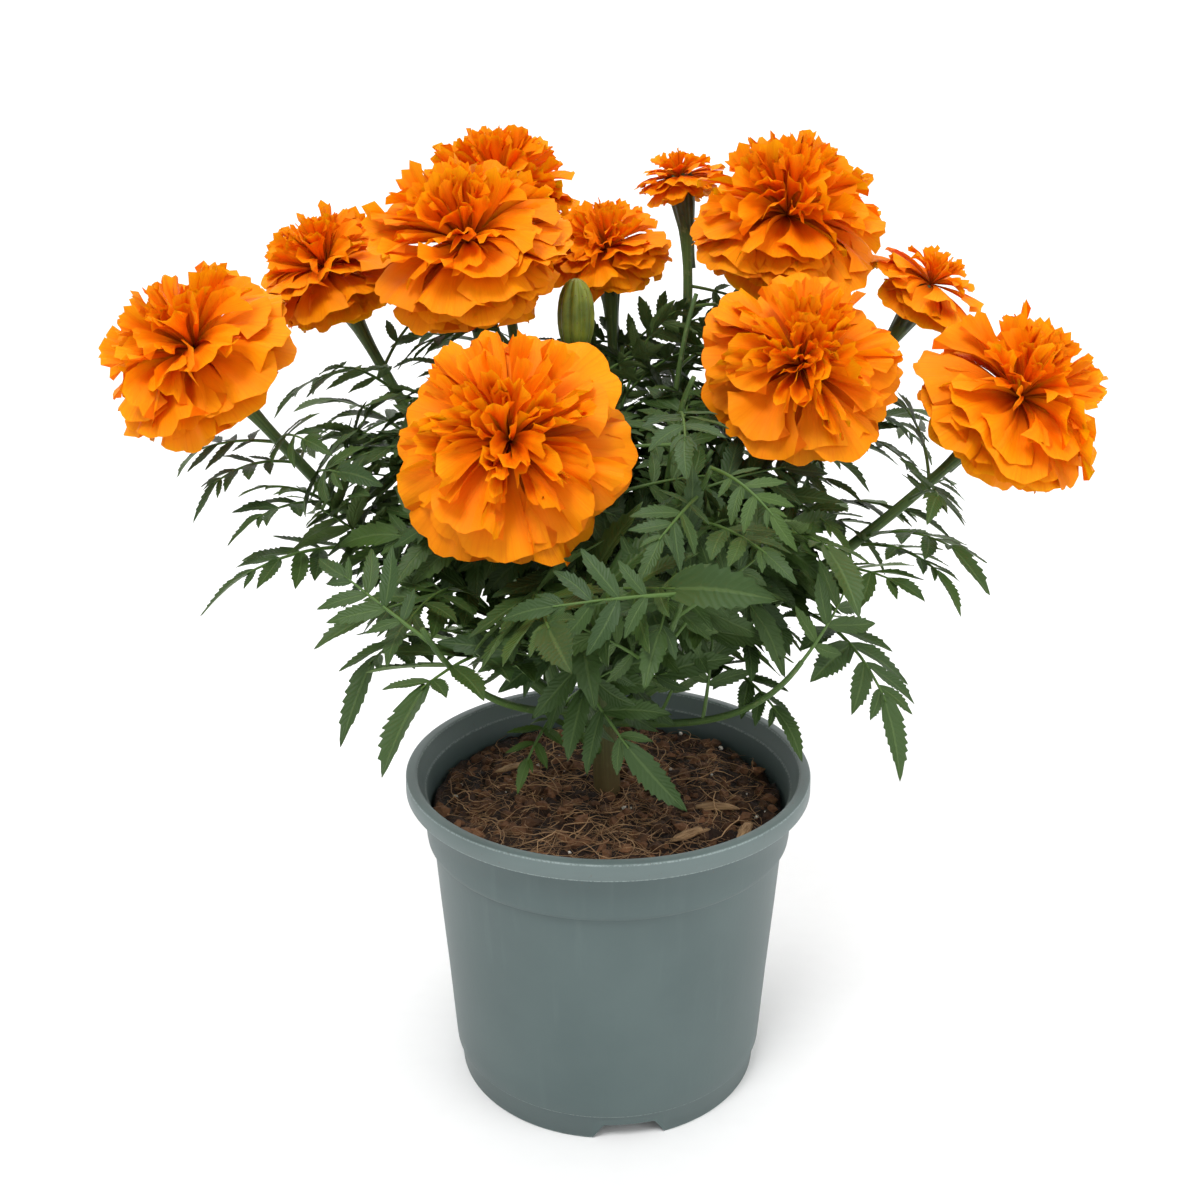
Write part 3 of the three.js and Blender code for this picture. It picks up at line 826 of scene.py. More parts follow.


# ---------------------------------------------------------------- calyxes and the bud
# Under each head the bracts are fused into a green ribbed cup, a tooth at the top of each. In the bud the
# same cup is still shut.
def ribbed(name, profile, ribs, depth, place, around=48, teeth=0.0):
    """A closed cup round +Z from (radius, height) pairs in metres, with rounded ribs, put in place."""
    bm = bmesh.new()
    rings = []
    for k, (radius, height) in enumerate(profile):
        ring = []
        for i in range(around):
            a = 2 * math.pi * i / around
            rib = 1 + depth * (abs(math.cos(ribs * a / 2)) - 0.6)
            tooth = teeth * abs(math.cos(ribs * a / 2)) ** 2 if k >= len(profile) - 2 else 0
            x, y = radius * rib * math.cos(a), radius * rib * math.sin(a)
            ring.append(bm.verts.new(place @ Vector((x, y, height + tooth))))
        rings.append(ring)
    for low, high in zip(rings, rings[1:]):
        for i in range(around):
            j = (i + 1) % around
            bm.faces.new((low[i], low[j], high[j], high[i]))
    for ring, height in ((rings[0], profile[0][1]), (rings[-1], profile[-1][1])):
        pole = bm.verts.new(place @ Vector((0, 0, height)))
        for i in range(around):
            bm.faces.new((ring[i], ring[(i + 1) % around], pole))
    return outward_mesh(name, bm)


def bract_skin(name, ridge, groove, scale):
    material, tree, shader = new_material(name, Roughness=0.42, Specular_IOR_Level=0.4)
    place = object_place(tree)
    cloud = noise_of(tree, place, scale, 4.0)
    gland = add(tree, "ShaderNodeTexVoronoi", {"Vector": place, "Scale": 700.0}).outputs["Distance"]
    colour = blended(tree, ramp(tree, cloud, 0.3, 0.7), groove, ridge)
    colour = blended(tree, minus(tree, 1.0, ramp(tree, gland, 0.08, 0.2)), colour, (0.10, 0.06, 0.02))
    tree.links.new(colour, shader.inputs["Base Color"])
    bumped(tree, shader, cloud, 0.4, 0.4 * MM)
    return material


def standing(at, faces):
    """The transform that puts +Z along a way, at a place."""
    turn = Vector(faces).to_track_quat("Z", "Y").to_matrix().to_4x4()
    return Matrix.Translation(Vector(at)) @ turn


calyx_skin = bract_skin("calyx_skin", (0.055, 0.100, 0.028), (0.024, 0.052, 0.018), 260.0)
for i, (head, calyx) in enumerate(zip(heads, calyx_radii), 1):
    foot = head["at"] - head["faces"] * (0.16 * head["radius"])
    profile = [(calyx * r, z * MM) for r, z in (
        (0.34, -28), (0.38, -24), (0.52, -18), (0.76, -11), (0.98, -5), (1.08, 0), (1.16, 3), (1.1, 4.2),
    )]
    cup = placed(f"calyx_{i}", ribbed(f"calyx_{i}", profile, 8, 0.13, standing(foot, head["faces"]), teeth=1.6 * MM))
    finished(cup, "stem_green", material=calyx_skin)

bud_length = bud_high.z - bud_low.z
bud_radius = (bud_high.x - bud_low.x) / 2
bud_profile = [
    (bud_radius * r, bud_length * z)
    for r, z in ((0.30, 0), (0.52, 0.03), (0.76, 0.12), (0.90, 0.24), (0.97, 0.38), (0.98, 0.52), (0.93, 0.66),
                 (0.84, 0.78), (0.70, 0.87), (0.52, 0.94), (0.30, 0.985), (0.1, 1.0))
]
bud_skin = bract_skin("bud_skin", (0.20, 0.235, 0.022), (0.095, 0.135, 0.016), 190.0)
bud = placed("bud_shell", ribbed("bud_shell", bud_profile, 8, 0.26, standing(bud_foot, (0, -0.04, 1)), 64))
finished(bud, "bud_green", "bud", material=bud_skin)


# ---------------------------------------------------------------- flower heads
# Fully double heads of overlapping ray petals. The outer petals are broad, ruffled and reach out in a skirt,
# each tier above is shorter and steeper, and the middle is packed with small rolled petals.
def petal_shape(name, seed, columns, rows, spread, roll, reflex, ruffle, twist=0.0, blunt=0.30):
    """One petal a unit long, along +Y with its upper side to +Z: a rolled claw, then a fan with round lobes."""
    rng = random.Random(seed)
    lobes, shift = rng.choice((2, 3, 3)), rng.uniform(-0.2, 0.2)
    folds, phase, lean = rng.uniform(1.0, 1.6), rng.uniform(0, 6.28), rng.uniform(-0.1, 0.1)
    grid = []
    for j in range(rows + 1):
        v = (j / rows) ** 0.85
        half = v * math.sin(spread * (0.36 + 0.64 * v)) + 0.02
        arc = roll * (1.25 - v) + 0.001
        row = []
        for i in range(columns + 1):
            u = 2 * i / columns - 1
            lobe = abs(math.cos(math.pi * lobes * (u + shift) / 2)) ** 0.6
            end = 1 - blunt * (1 - math.sqrt(max(0.0, 1 - 0.92 * abs(u) ** 3.2))) - 0.07 * (1 - lobe)
            reach = v * (1 + (end - 1) * v**4)
            x = half / arc * math.sin(u * arc)
            z = half / arc * (1 - math.cos(u * arc))
            z += ruffle * v**2 * math.cos(folds * math.pi * u + phase) * (0.35 + 0.65 * abs(u))
            z += 0.3 * ruffle * v**5 * math.cos(2 * folds * math.pi * u + 2 * phase)
            turn = twist * v
            x, z = x * math.cos(turn) - z * math.sin(turn), x * math.sin(turn) + z * math.cos(turn)
            row.append((x + lean * v * v, reach * math.cos(0.8 * u * half), z - reflex * v**2.4))
        grid.append(row)
    return leafy_mesh(name, grid, 0.014)


def leafy_mesh(name, grid, thickness):
    """A thin closed blade from a grid of points: an upper and an under skin that share one sharp edge.

    Its UVs run across and along, and the corner attribute underside is 1 on the under skin."""
    rows, columns = len(grid) - 1, len(grid[0]) - 1
    points, top, under = [], {}, {}
    for j in range(rows + 1):
        for i in range(columns + 1):
            x, y, z = grid[j][i]
            top[j, i] = len(points)
            points.append((x, y, z))
            rim = j in (0, rows) or i in (0, columns)
            under[j, i] = top[j, i] if rim else len(points)
            if not rim:
                points.append((x, y, z - thickness))
    faces, uvs, sides = [], [], []
    for skin, side in ((top, 0.0), (under, 1.0)):
        for j in range(rows):
            for i in range(columns):
                a, b, c, d = (j, i), (j, i + 1), (j + 1, i + 1), (j + 1, i)
                for corners in ((a, c, b), (a, d, c)) if side else ((a, b, c), (a, c, d)):
                    faces.append([skin[corner] for corner in corners])
                    uvs += [(corner[1] / columns, corner[0] / rows) for corner in corners]
                    sides += [side] * 3
    mesh = closed_mesh(name, points, faces, {"underside": sides})
    mesh.uv_layers.new(name="UVMap").data.foreach_set("uv", np.array(uvs, np.float32).ravel())
    edge = np.zeros(len(mesh.edges), bool)
    rims = {top[c] for c in top if top[c] == under[c]}
    for k, e in enumerate(mesh.edges):
        edge[k] = e.vertices[0] in rims and e.vertices[1] in rims
    mesh.attributes.new("sharp_edge", "BOOLEAN", "EDGE").data.foreach_set("value", edge)
    return mesh


GOLDEN_TURN = 2.39996  # radians between one petal or shoot and the next


def petal_tree():
    """Sets petals round +Z in the sunflower's spiral, from the skirt up to the middle of the dome."""
    tree, given, result = new_tree("petal_spiral", {
        "Broad": ("Collection", None), "Rolled": ("Collection", None), "Material": ("Material", None),
        "Petals": ("Int", 100), "Radius": ("Float", 0.03), "Dome": ("Float", 0.7), "Droop": ("Float", -0.45),
        "Steepest": ("Float", 1.3), "Quilled": ("Float", 0.4), "Seed": ("Int", 1),
    })
    seed = given.outputs["Seed"]
    spots = add(tree, "GeometryNodePoints", {"Count": given.outputs["Petals"]})
    index = add(tree, "GeometryNodeInputIndex").outputs[0]
    share = calc(tree, "DIVIDE", index, given.outputs["Petals"])
    climb = calc(tree, "POWER", share, 0.85)
    rise = spread(tree, climb, given.outputs["Droop"], given.outputs["Steepest"])
    rise = plus(tree, rise, times(tree, chance(tree, -0.30, 0.26, seed, 1), plus(tree, share, 0.25)))
    turn = plus(tree, times(tree, index, GOLDEN_TURN), chance(tree, -0.14, 0.14, seed, 2))
    flat = calc(tree, "POWER", calc(tree, "COSINE", rise), 2.0)
    steep = calc(tree, "POWER", calc(tree, "DIVIDE", calc(tree, "SINE", rise), given.outputs["Dome"]), 2.0)
    reach = calc(tree, "DIVIDE", given.outputs["Radius"], calc(tree, "SQRT", plus(tree, flat, steep)))
    reach = times(tree, reach, chance(tree, 0.86, 1.05, seed, 3))
    narrow = spread(tree, share, 1.0, 0.62)
    wide = times(tree, reach, times(tree, narrow, chance(tree, 0.88, 1.12, seed, 4)))
    size = add(tree, "ShaderNodeCombineXYZ", {"X": wide, "Y": reach, "Z": reach}).outputs[0]
    rotation = turned_by(tree, rise, chance(tree, -0.16, 0.16, seed, 5), turn)
    near = plus(tree, share, chance(tree, -0.07, 0.07, seed, 6))
    inner = calc(tree, "GREATER_THAN", near, given.outputs["Quilled"])
    stood = []
    for label, rolled in (("Broad", 0.0), ("Rolled", 1.0)):
        stood.append(add(tree, "GeometryNodeInstanceOnPoints", {
            "Points": spots.outputs[0], "Instance": picked(tree, given, label), "Pick Instance": True,
            "Selection": calc(tree, "COMPARE", inner, rolled, 0.5),
            "Instance Index": chance(tree, 0, 97, seed, 7, "INT"), "Rotation": rotation, "Scale": size,
        }).outputs[0])
    both = tree.nodes.new("GeometryNodeJoinGeometry")
    for made in stood:
        tree.links.new(made, both.inputs[0])
    shaded = marked(tree, both.outputs[0], "shade", chance(tree, 0.0, 1.0, seed, 8))
    return handed_out(tree, real(tree, shaded), given, result)


def petal_skin():
    """Petal skin: deep orange at the claw, darkened further by painted shade where the petals crowd together, glowing
    orange over the blade, finely veined along its length.
    """
    material, tree, shader = new_material(
        "petal_skin", Roughness=0.6, Specular_IOR_Level=0.12, Subsurface_Weight=0.18, Subsurface_Scale=0.003,
    )
    shader.inputs["Subsurface Radius"].default_value = (1.0, 0.25, 0.02)
    own = attribute(tree, "shade")
    under = attribute(tree, "underside")
    flat = add(tree, "ShaderNodeUVMap", uv_map="UVMap").outputs[0]
    along = add(tree, "ShaderNodeSeparateXYZ", {0: flat}).outputs["Y"]
    veins = add(tree, "ShaderNodeMapping", {"Vector": flat, "Scale": (26.0, 1.2, 1.0)}).outputs[0]
    vein = noise_of(tree, veins, 1.0, 3.0)
    place = object_place(tree)
    cloud = noise_of(tree, place, 90.0, 3.0)
    # Partly painted shade: the claw end is the petal's own deeper orange, darkened to red-brown for the shade deep
    # among the petals.
    colour = blended(tree, ramp(tree, along, 0.02, 0.62), (0.26, 0.012, 0.0), (0.96, 0.228, 0.0))
    colour = blended(tree, times(tree, ramp(tree, along, 0.6, 1.0), 0.7), colour, (1.0, 0.315, 0.0))
    colour = blended(tree, times(tree, ramp(tree, vein, 0.45, 0.75), 0.45), colour, (0.82, 0.135, 0.0))
    colour = blended(tree, times(tree, own, 0.4), colour, (0.88, 0.165, 0.0))
    colour = blended(tree, times(tree, ramp(tree, cloud, 0.4, 0.8), 0.25), colour, (1.0, 0.33, 0.0))
    colour = blended(tree, times(tree, under, 0.35), colour, (0.82, 0.155, 0.0))
    tree.links.new(colour, shader.inputs["Base Color"])
    bumped(tree, shader, vein, 0.35, 0.5 * MM)
    return material


broad_petals = shelf("broad_petal", [
    petal_shape(f"broad_petal_{i}", 100 + i, 12, 5, (0.40, 0.47, 0.43)[i % 3], (0.5, -0.4, 0.8, 0.2)[i % 4],
                (0.14, 0.30, 0.22)[i % 3], (0.05, 0.08)[i % 2])
    for i in range(8)
])
rolled_petals = shelf("rolled_petal", [
    petal_shape(f"rolled_petal_{i}", 200 + i, 6, 5, (0.15, 0.24, 0.19)[i % 3], (2.1, 1.5, 2.5)[i % 3],
                (0.1, 0.26, -0.12)[i % 3], 0.07, (0.9, -0.8, 0.4, -0.3)[i % 4], 0.10)
    for i in range(9)
])
spiral = petal_tree()
petal_finish = petal_skin()
for i, head in enumerate(heads, 1):
    fullness = min(1.0, max(0.0, (head["dome"] - 0.34) / 0.34))
    made = grown(
        f"petals_{i}", bpy.data.meshes.new(f"petals_{i}"), spiral, Broad=broad_petals, Rolled=rolled_petals,
        Material=petal_finish, Petals=int(38 + 92 * fullness), Dome=head["dome"] * (1.12 if fullness > 0.2 else 1.5),
        Radius=head["radius"] * (1.04 if head["radius"] > 0.0315 else 1.14), Droop=-0.65,
        Steepest=1.42, Quilled=0.62 - 0.26 * fullness, Seed=i,
    )
    made.data.transform(standing(head["at"] + head["faces"] * 2.4 * MM, head["faces"]))
    finished(made, "petals", f"flower_head_{i}")
cleared(broad_petals)
cleared(rolled_petals)


# ---------------------------------------------------------------- leaves
# Pinnate leaves: a thin grooved stalk with opposite pairs of narrow toothed leaflets and one more at its end,
# dark green with a paler midrib above, and paler and duller below, where painted light also lifts the shaded
# undersides.
def leaflet_shape(name, seed, teeth, spines):
    """One leaflet a unit long, along +Y with its upper side to +Z: narrow, toothed, folded on its midrib."""
    rng = random.Random(seed)
    stations = [(0.0, 1.0, 0.0), (0.13, 1.0, 0.0)]
    for k in range(teeth):
        at = 0.34 + 0.55 * (k + rng.uniform(-0.15, 0.15)) / teeth
        stations += [(at, 1.08, 0.022), (at + 0.034, 0.86, 0.0)]
    stations += [(0.94, 0.9, 0.0), (1.0, 0.0, 0.0)]
    bend, wave = rng.uniform(0.05, 0.16), rng.uniform(-0.04, 0.04)
    grid = []
    for v, widen, forward in stations:
        half = 0.158 * math.sin(math.pi * min(1, 0.05 + 0.95 * v**0.9)) ** 0.8 * widen
        row = []
        for i in range(spines + 1):
            u = 2 * i / spines - 1
            edge = abs(u) ** 3
            x = half * u + wave * math.sin(math.pi * v)
            z = 0.24 * abs(half * u) - bend * v * v + 0.014 * edge * math.sin(9 * v + seed)
            row.append((x, v + forward * edge, z))
        grid.append(row)
    return leafy_mesh(name, grid, 0.012)


def leaf_tree():
    """Builds one leaf along +Y from its sizes, then arches and folds it."""
    tree, given, result = new_tree("pinnate_leaf", {
        "Leaflets": ("Collection", None), "Material": ("Material", None), "Length": ("Float", 0.08),
        "Broad": ("Float", 0.28), "Pairs": ("Int", 5), "Bare": ("Float", 0.22), "Arch": ("Float", 0.01),
        "Fold": ("Float", 0.15), "Stalk": ("Float", 0.0009), "Shade": ("Float", 0.5), "Seed": ("Int", 1),
    })
    seed, length, pairs = (given.outputs[k] for k in ("Seed", "Length", "Pairs"))
    # The stalk, thinning towards its end.
    line = add(tree, "GeometryNodeCurvePrimitiveLine", {
        "End": add(tree, "ShaderNodeCombineXYZ", {"Y": times(tree, length, 0.72)}).outputs[0],
    })
    line = add(tree, "GeometryNodeResampleCurve", {"Curve": line.outputs[0], "Count": 11})
    share = add(tree, "GeometryNodeSplineParameter").outputs["Factor"]
    thin = spread(tree, share, 1.0, 0.42)
    line = add(tree, "GeometryNodeSetCurveRadius", {
        "Curve": line.outputs[0], "Radius": times(tree, thin, given.outputs["Stalk"]),
    })
    ring = add(tree, "GeometryNodeCurvePrimitiveCircle", {"Resolution": 6, "Radius": 1.0})
    scaled = add(tree, "GeometryNodeCurveToMesh", {
        "Curve": line.outputs[0], "Profile Curve": ring.outputs[0], "Fill Caps": True,
    })
    radius = add(tree, "GeometryNodeInputNamedAttribute", {"Name": "radius"}, data_type="FLOAT")
    tree.links.new(radius.outputs[0], scaled.inputs["Scale"])
    stalk = marked(tree, scaled.outputs[0], "stalk", 1.0, "POINT")
    # Leaflets: two for each pair, and one at the end.
    count = plus(tree, times(tree, pairs, 2.0), 1.0)
    spots = add(tree, "GeometryNodePoints", {"Count": count})
    index = add(tree, "GeometryNodeInputIndex").outputs[0]
    pair = calc(tree, "FLOOR", calc(tree, "DIVIDE", index, 2.0))
    last = calc(tree, "GREATER_THAN", index, minus(tree, count, 1.5))
    side = minus(tree, 1.0, times(tree, calc(tree, "MODULO", index, 2.0), 2.0))
    step = calc(tree, "DIVIDE", pair, minus(tree, pairs, 1.0))
    paired = minus(tree, 1.0, last)
    up = plus(tree, spread(tree, step, given.outputs["Bare"], 0.66), chance(tree, -0.014, 0.014, seed, 1))
    up = plus(tree, times(tree, up, paired), times(tree, last, 0.69))
    open_angle = spread(tree, step, 1.15, 0.70)
    open_angle = plus(tree, open_angle, chance(tree, -0.16, 0.16, seed, 2))
    yaw = times(tree, times(tree, open_angle, side), minus(tree, last, 1.0))
    full = calc(tree, "SINE", plus(tree, times(tree, step, 1.9), 0.75))
    size = times(tree, times(tree, length, given.outputs["Broad"]), full)
    ending = times(tree, times(tree, length, 0.315), last)
    size = plus(tree, times(tree, size, paired), ending)
    size = times(tree, size, chance(tree, 0.88, 1.1, seed, 3))
    broad = times(tree, size, plus(tree, 1.0, times(tree, last, 0.1)))
    nod = chance(tree, -0.34, 0.12, seed, 4)
    roll = times(tree, side, chance(tree, -0.1, 0.4, seed, 5))
    moved = add(tree, "GeometryNodeSetPosition", {
        "Geometry": spots.outputs[0],
        "Position": add(tree, "ShaderNodeCombineXYZ", {"Y": times(tree, up, length)}).outputs[0],
    })
    stood = add(tree, "GeometryNodeInstanceOnPoints", {
        "Points": moved.outputs[0], "Instance": picked(tree, given, "Leaflets"), "Pick Instance": True,
        "Instance Index": chance(tree, 0, 97, seed, 6, "INT"), "Rotation": turned_by(tree, nod, roll, yaw),
        "Scale": add(tree, "ShaderNodeCombineXYZ", {"X": broad, "Y": size, "Z": size}).outputs[0],
    })
    own = plus(tree, given.outputs["Shade"], chance(tree, -0.12, 0.12, seed, 7))
    whole = tree.nodes.new("GeometryNodeJoinGeometry")
    tree.links.new(real(tree, marked(tree, stood.outputs[0], "shade", own)), whole.inputs[0])
    tree.links.new(stalk, whole.inputs[0])
    # The whole leaf arches between its base and its tip, and folds up along its stalk.
    here = add(tree, "ShaderNodeSeparateXYZ", {0: add(tree, "GeometryNodeInputPosition").outputs[0]})
    t = add(tree, "ShaderNodeClamp", {0: calc(tree, "DIVIDE", here.outputs["Y"], length)}).outputs[0]
    hump = times(tree, times(tree, t, minus(tree, 1.0, t)), 4.0)
    lift = times(tree, hump, given.outputs["Arch"])
    lift = plus(tree, lift, times(tree, calc(tree, "ABSOLUTE", here.outputs["X"]), given.outputs["Fold"]))
    bent = add(tree, "GeometryNodeSetPosition", {
        "Geometry": whole.outputs[0], "Offset": add(tree, "ShaderNodeCombineXYZ", {"Z": lift}).outputs[0],
    })
    return handed_out(tree, bent.outputs[0], given, result)


def leaf_skin():
    material, tree, shader = new_material("leaf_skin", Specular_IOR_Level=0.3)
    own = attribute(tree, "shade")
    under = attribute(tree, "underside")
    stalk = attribute(tree, "stalk")
    flat = add(tree, "ShaderNodeUVMap", uv_map="UVMap").outputs[0]
    split = add(tree, "ShaderNodeSeparateXYZ", {0: flat})
    off = calc(tree, "ABSOLUTE", minus(tree, split.outputs["X"], 0.5))
    midrib = minus(tree, 1.0, ramp(tree, off, 0.02, 0.075))
    # Side veins run forwards from the midrib in a herringbone.
    slant = minus(tree, split.outputs["Y"], times(tree, off, 0.45))
    wave = calc(tree, "SINE", times(tree, slant, 62.0))
    place = object_place(tree)
    cloud = noise_of(tree, place, 55.0, 4.0)
    spot = noise_of(tree, place, 700.0, 2.0)
    colour = blended(tree, own, (0.025, 0.056, 0.014), (0.085, 0.155, 0.015))
    colour = blended(tree, times(tree, ramp(tree, cloud, 0.35, 0.7), 0.35), colour, (0.029, 0.062, 0.019))
    colour = blended(tree, times(tree, ramp(tree, wave, 0.5, 1.0), 0.16), colour, (0.055, 0.102, 0.033))
    # Partly painted light: the undersides are the leaf's own paler green, lightened further for light shining through
    # the leaf into its shade.
    colour = blended(tree, times(tree, under, 0.8), colour, (0.105, 0.165, 0.046))
    colour = blended(tree, times(tree, midrib, 0.3), colour, (0.13, 0.20, 0.060))
    colour = blended(tree, stalk, colour, (0.075, 0.140, 0.030))
    tree.links.new(colour, shader.inputs["Base Color"])
    rough = plus(tree, 0.42, times(tree, spot, 0.2))
    tree.links.new(rough, shader.inputs["Roughness"])
    relief = minus(tree, times(tree, wave, 0.3), times(tree, midrib, 1.2))
    bumped(tree, shader, relief, 0.4, 0.35 * MM)
    return material


leaflets = shelf("leaflet", [leaflet_shape(f"leaflet_{i}", 300 + i, (6, 5, 6, 7)[i % 4], 4) for i in range(6)])
plain_leaflets = shelf("plain_leaflet", [leaflet_shape(f"plain_leaflet_{i}", 320 + i, 4, 2) for i in range(6)])
pinnate = leaf_tree()
leaf_finish = leaf_skin()
all_lines = [bud_line, *lines, main_line]


def leaf_frame(node):
    """A leaf's base, tip, upper side, arch and fold, from its solid."""
    corners = corners_of(node)
    middle = corners.mean(0)
    vectors = np.linalg.eigh(np.cov((corners - middle).T))[1]
    run = (corners - middle) @ vectors[:, 2]
    ends = [corners[run < run.min() + 0.0012].mean(0), corners[run > run.max() - 0.0012].mean(0)]
    near = [min(np.linalg.norm(line - end, axis=1).min() for line in all_lines) for end in ends]
    base, tip = ends if near[0] < near[1] else ends[::-1]
    along = unit(tip - base)
    across = unit(vectors[:, 1] - along * (vectors[:, 1] @ along))
    upper = np.cross(across, along)
    middle_out = base + along * 0.01
    up = np.array([*(0.75 * unit(middle_out[:2])), 1.0])
    if upper @ up < 0:
        upper, across = -upper, -across
    length = np.linalg.norm(tip - base)
    local = corners - base
    s, x, h = local @ along / length, local @ across, local @ upper
    terms = np.stack([np.ones(len(s)), 4 * s * (1 - s), np.abs(x)], axis=1)
    _, arch, fold = np.linalg.lstsq(terms, h, rcond=None)[0]
    return {"base": base, "along": along, "upper": upper, "length": length, "arch": arch, "fold": fold,
            "broad": np.abs(x).max() / length}


def facing_light(place, along, upper, share):
    """A leaf's upper side, rolled about its stalk towards the light in front, by a share that fades at the back."""
    front = share * min(1.0, max(0.0, (0.045 - place[1]) / 0.06))
    turned = unit(upper) + front * np.array([0, -1.0, 0.15])
    return unit(turned - along * (turned @ along))


def leaf_place(base, along, upper):
    along, upper = Vector(along), Vector(upper)
    across = along.cross(upper)
    return Matrix.Translation(Vector(base)) @ Matrix((across, along, upper)).transposed().to_4x4()


LEAF_COUNT = sum(name.startswith("leaf_") for name in nodes)
for i in range(1, LEAF_COUNT + 1):
    node = f"leaf_{i:02d}"
    leaf = leaf_frame(node)
    leaf["upper"] = facing_light(leaf["base"] + leaf["along"] * leaf["length"], leaf["along"], leaf["upper"], 0.7)
    young = leaf["base"][2] < 0.15 or leaf["length"] < 0.04
    made = grown(
        f"frond_{i:02d}", bpy.data.meshes.new(node), pinnate, Leaflets=leaflets, Material=leaf_finish,
        Length=leaf["length"], Broad=0.31, Pairs=4 if leaf["length"] < 0.05 else 5, Bare=0.17,
        Arch=leaf["arch"], Fold=leaf["fold"], Stalk=0.00085, Shade=0.62 if young else 0.22, Seed=i,
    )
    made.data.transform(leaf_place(leaf["base"], leaf["along"], leaf["upper"]))
    finished(made, "leaves", node)


# ---------------------------------------------------------------- the rest of the foliage
# Every stem, and each leafy side shoot, also carries smaller leaves in crossed pairs up to its bare end. They
# fill the plant out, and keep clear of the heads and of the pot.
room_low, room_high = (np.array(corner) for corner in cad_box)
CROWN_FOOT, CROWN_RADIUS = 0.137, 0.046  # the foliage stays in a cone from this height and radius upwards
CROWN_BEND = 0.025  # the height over its foot where the cone opens wider
LEAF_HANG = 0.019  # how far under the cone's foot a leaf may hang


def clear_of_heads(points, around, ahead):
    """True where points keep out of every head's room, stated beside and in front of it in its radii."""
    for head in heads:
        off = points - head["at"]
        rise = off @ head["faces"]
        out = np.linalg.norm(off - np.outer(rise, head["faces"]), axis=1)
        radius = head["radius"]
        if ((out < radius * around) & (rise > -0.5 * radius) & (rise < radius * ahead)).any():
            return False
    return True


def clear_of_all(points):
    """True where a leaf's points stay inside the plant's box, off the pot, and off every head."""
    if (points < room_low + 0.002).any() or (points > room_high - 0.002).any():
        return False
    flat = np.hypot(points[:, 0], points[:, 1])
    rise = points[:, 2] - CROWN_FOOT
    cone = CROWN_RADIUS + 0.9 * rise + 1.6 * np.maximum(0, rise - CROWN_BEND)
    if (flat > cone).any() or (rise < -LEAF_HANG).any():
        return False
    if not clear_of_heads(points, 1.02, 1.6):
        return False
    return np.linalg.norm(points - (bud_foot + [0, 0, 0.012]), axis=1).min() > 0.016


def crossed_pairs(line, first, last, step, longest, shortest, rng):
    """Where leaves grow on a stem: pairs on opposite sides, each pair turned a quarter from the one below."""
    length = np.linalg.norm(np.diff(line, axis=0), axis=1).sum()
    tangents = np.gradient(line, axis=0)
    start = rng.uniform(0, math.pi)
    for k, share in enumerate(np.arange(first, last, step / length)):
        spot = share * (len(line) - 1)
        low = int(spot)
        base = line[low] + (line[min(low + 1, len(line) - 1)] - line[low]) * (spot - low)
        along = unit(tangents[low])
        side = unit(np.cross(along, [0.21, 0.12, 1.0]))
        other = np.cross(along, side)
        size = longest + (shortest - longest) * (share - first) / (last - first)
        for half in (0, math.pi):
            turn = start + k * math.pi / 2 + half + rng.uniform(-0.35, 0.35)
            out = math.cos(turn) * side + math.sin(turn) * other
            yield base, unit(out + along * rng.uniform(0.25, 0.65)), size * rng.uniform(0.8, 1.15)


def shoot_line(turn, height, rise, length):
    """A leafy side shoot's middle line, out of the main stem and curving up."""
    start = main_axis(height)
    out = np.array([math.cos(turn), math.sin(turn), 0])
    up = np.array([0, 0, 1.0])
    end = start + length * (math.cos(rise) * out + math.sin(rise) * up)
    leave = start + 0.4 * length * unit(out + 0.25 * up)
    arrive = end - 0.35 * length * unit(up + 0.6 * out)
    return even_line(bezier(start, leave, arrive, end, np.linspace(0, 1, 40)), 24)


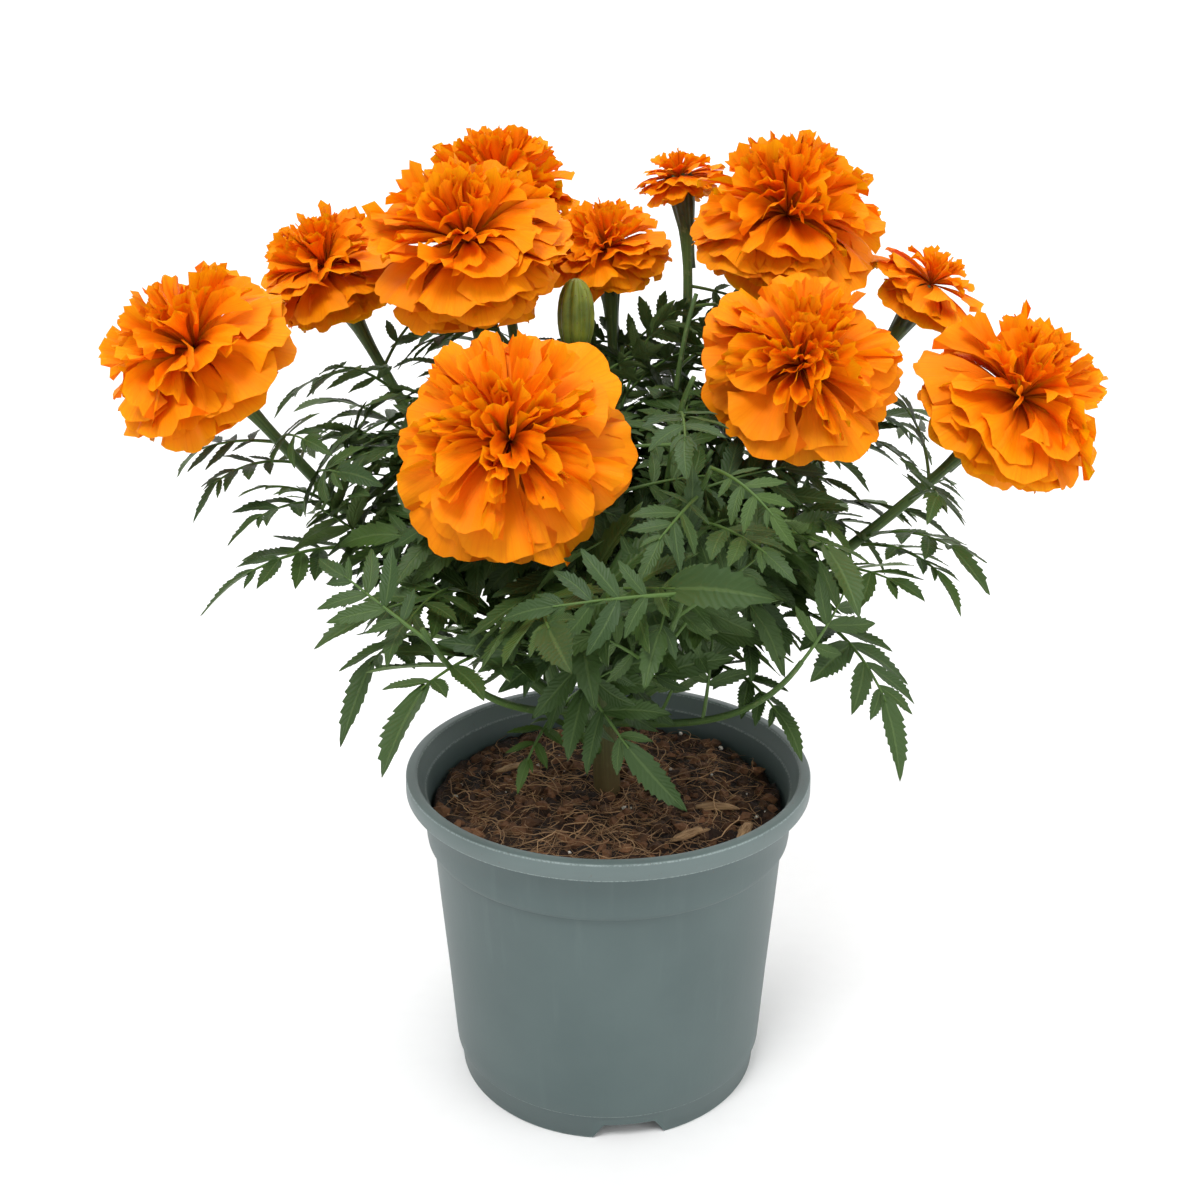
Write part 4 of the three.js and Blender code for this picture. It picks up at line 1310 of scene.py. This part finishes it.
rng = random.Random(17)
SHOOTS = 22
SHORTEST_SHOOT = 0.025
shoots = []
for k in range(SHOOTS):
    length = 0.070 + 0.036 * rng.random()
    way = (-0.7 + GOLDEN_TURN * k, 0.130 + 0.0028 * k, 0.50 + 0.030 * k)
    line = shoot_line(*way, length)
    while length > SHORTEST_SHOOT and not clear_of_heads(line, 1.12, 4.0):
        length *= 0.92
        line = shoot_line(*way, length)
    shoots.append(line)
fill_meshes = []
for k, line in enumerate(shoots):
    skin = placed(f"shoot_{k}", tube("shoot", line, lambda s: (1.5 - 0.7 * s) * MM, 8, 0.05))
    skin.data.materials.append(green_stem)
    fill_meshes.append(skin)
# Each stem with its first and last leafy place, the step between pairs, and its longest and shortest leaf.
sources = [(line, 0.14, 0.82, 0.0095, 0.080, 0.046) for line in lines]
sources += [(line, 0.25, 1.0, 0.0105, 0.072, 0.046) for line in shoots]
sources += [(bud_line, 0.15, 0.85, 0.012, 0.050, 0.034), (main_line, 0.45, 0.98, 0.014, 0.078, 0.062)]
made_count = 0
for line, first, last, step, longest, shortest in sources:
    for base, out, size in crossed_pairs(line, first, last, step, longest, shortest, rng):
        droop = rng.uniform(0.0, 0.7)
        along = unit(out + np.array([0, 0, -droop]))
        outward = unit(base[:2] + along[:2] * 0.03)
        upper = np.array([*(0.8 * outward), 1.0]) + np.array([rng.uniform(-0.35, 0.35) for _ in range(3)])
        upper = facing_light(base + along * size, along, upper, 0.8)
        arch = size * rng.uniform(0.07, 0.18)
        across = np.cross(along, upper)
        samples = np.array([
            base + along * s * size + upper * arch * 4 * s * (1 - s) + across * w * size
            for s in (0.3, 0.45, 0.6, 0.75, 0.9, 1.0) for w in (-0.22, 0, 0.22)
        ])
        if not clear_of_all(samples):
            continue
        made_count += 1
        made = grown(
            f"fill_{made_count}", bpy.data.meshes.new("fill"), pinnate, Leaflets=plain_leaflets,
            Material=leaf_finish, Length=size, Broad=0.36, Pairs=4, Bare=0.22, Arch=arch,
            Fold=rng.uniform(0.05, 0.25), Stalk=0.0007,
            Shade=rng.uniform(0.08, 0.4) + (0.3 if base[2] < 0.14 else 0), Seed=100 + made_count,
        )
        made.data.transform(leaf_place(base, along, upper))
        fill_meshes.append(made)
cleared(leaflets)
cleared(plain_leaflets)

bpy.ops.object.select_all(action="DESELECT")
groups = [fill_meshes[i::5] for i in range(5)]
for number, group in enumerate(groups, 1):
    with bpy.context.temp_override(active_object=group[0], selected_editable_objects=group, selected_objects=group):
        bpy.ops.object.join()
    group[0].name = f"foliage_{number}"
    finished(group[0], "leaves")
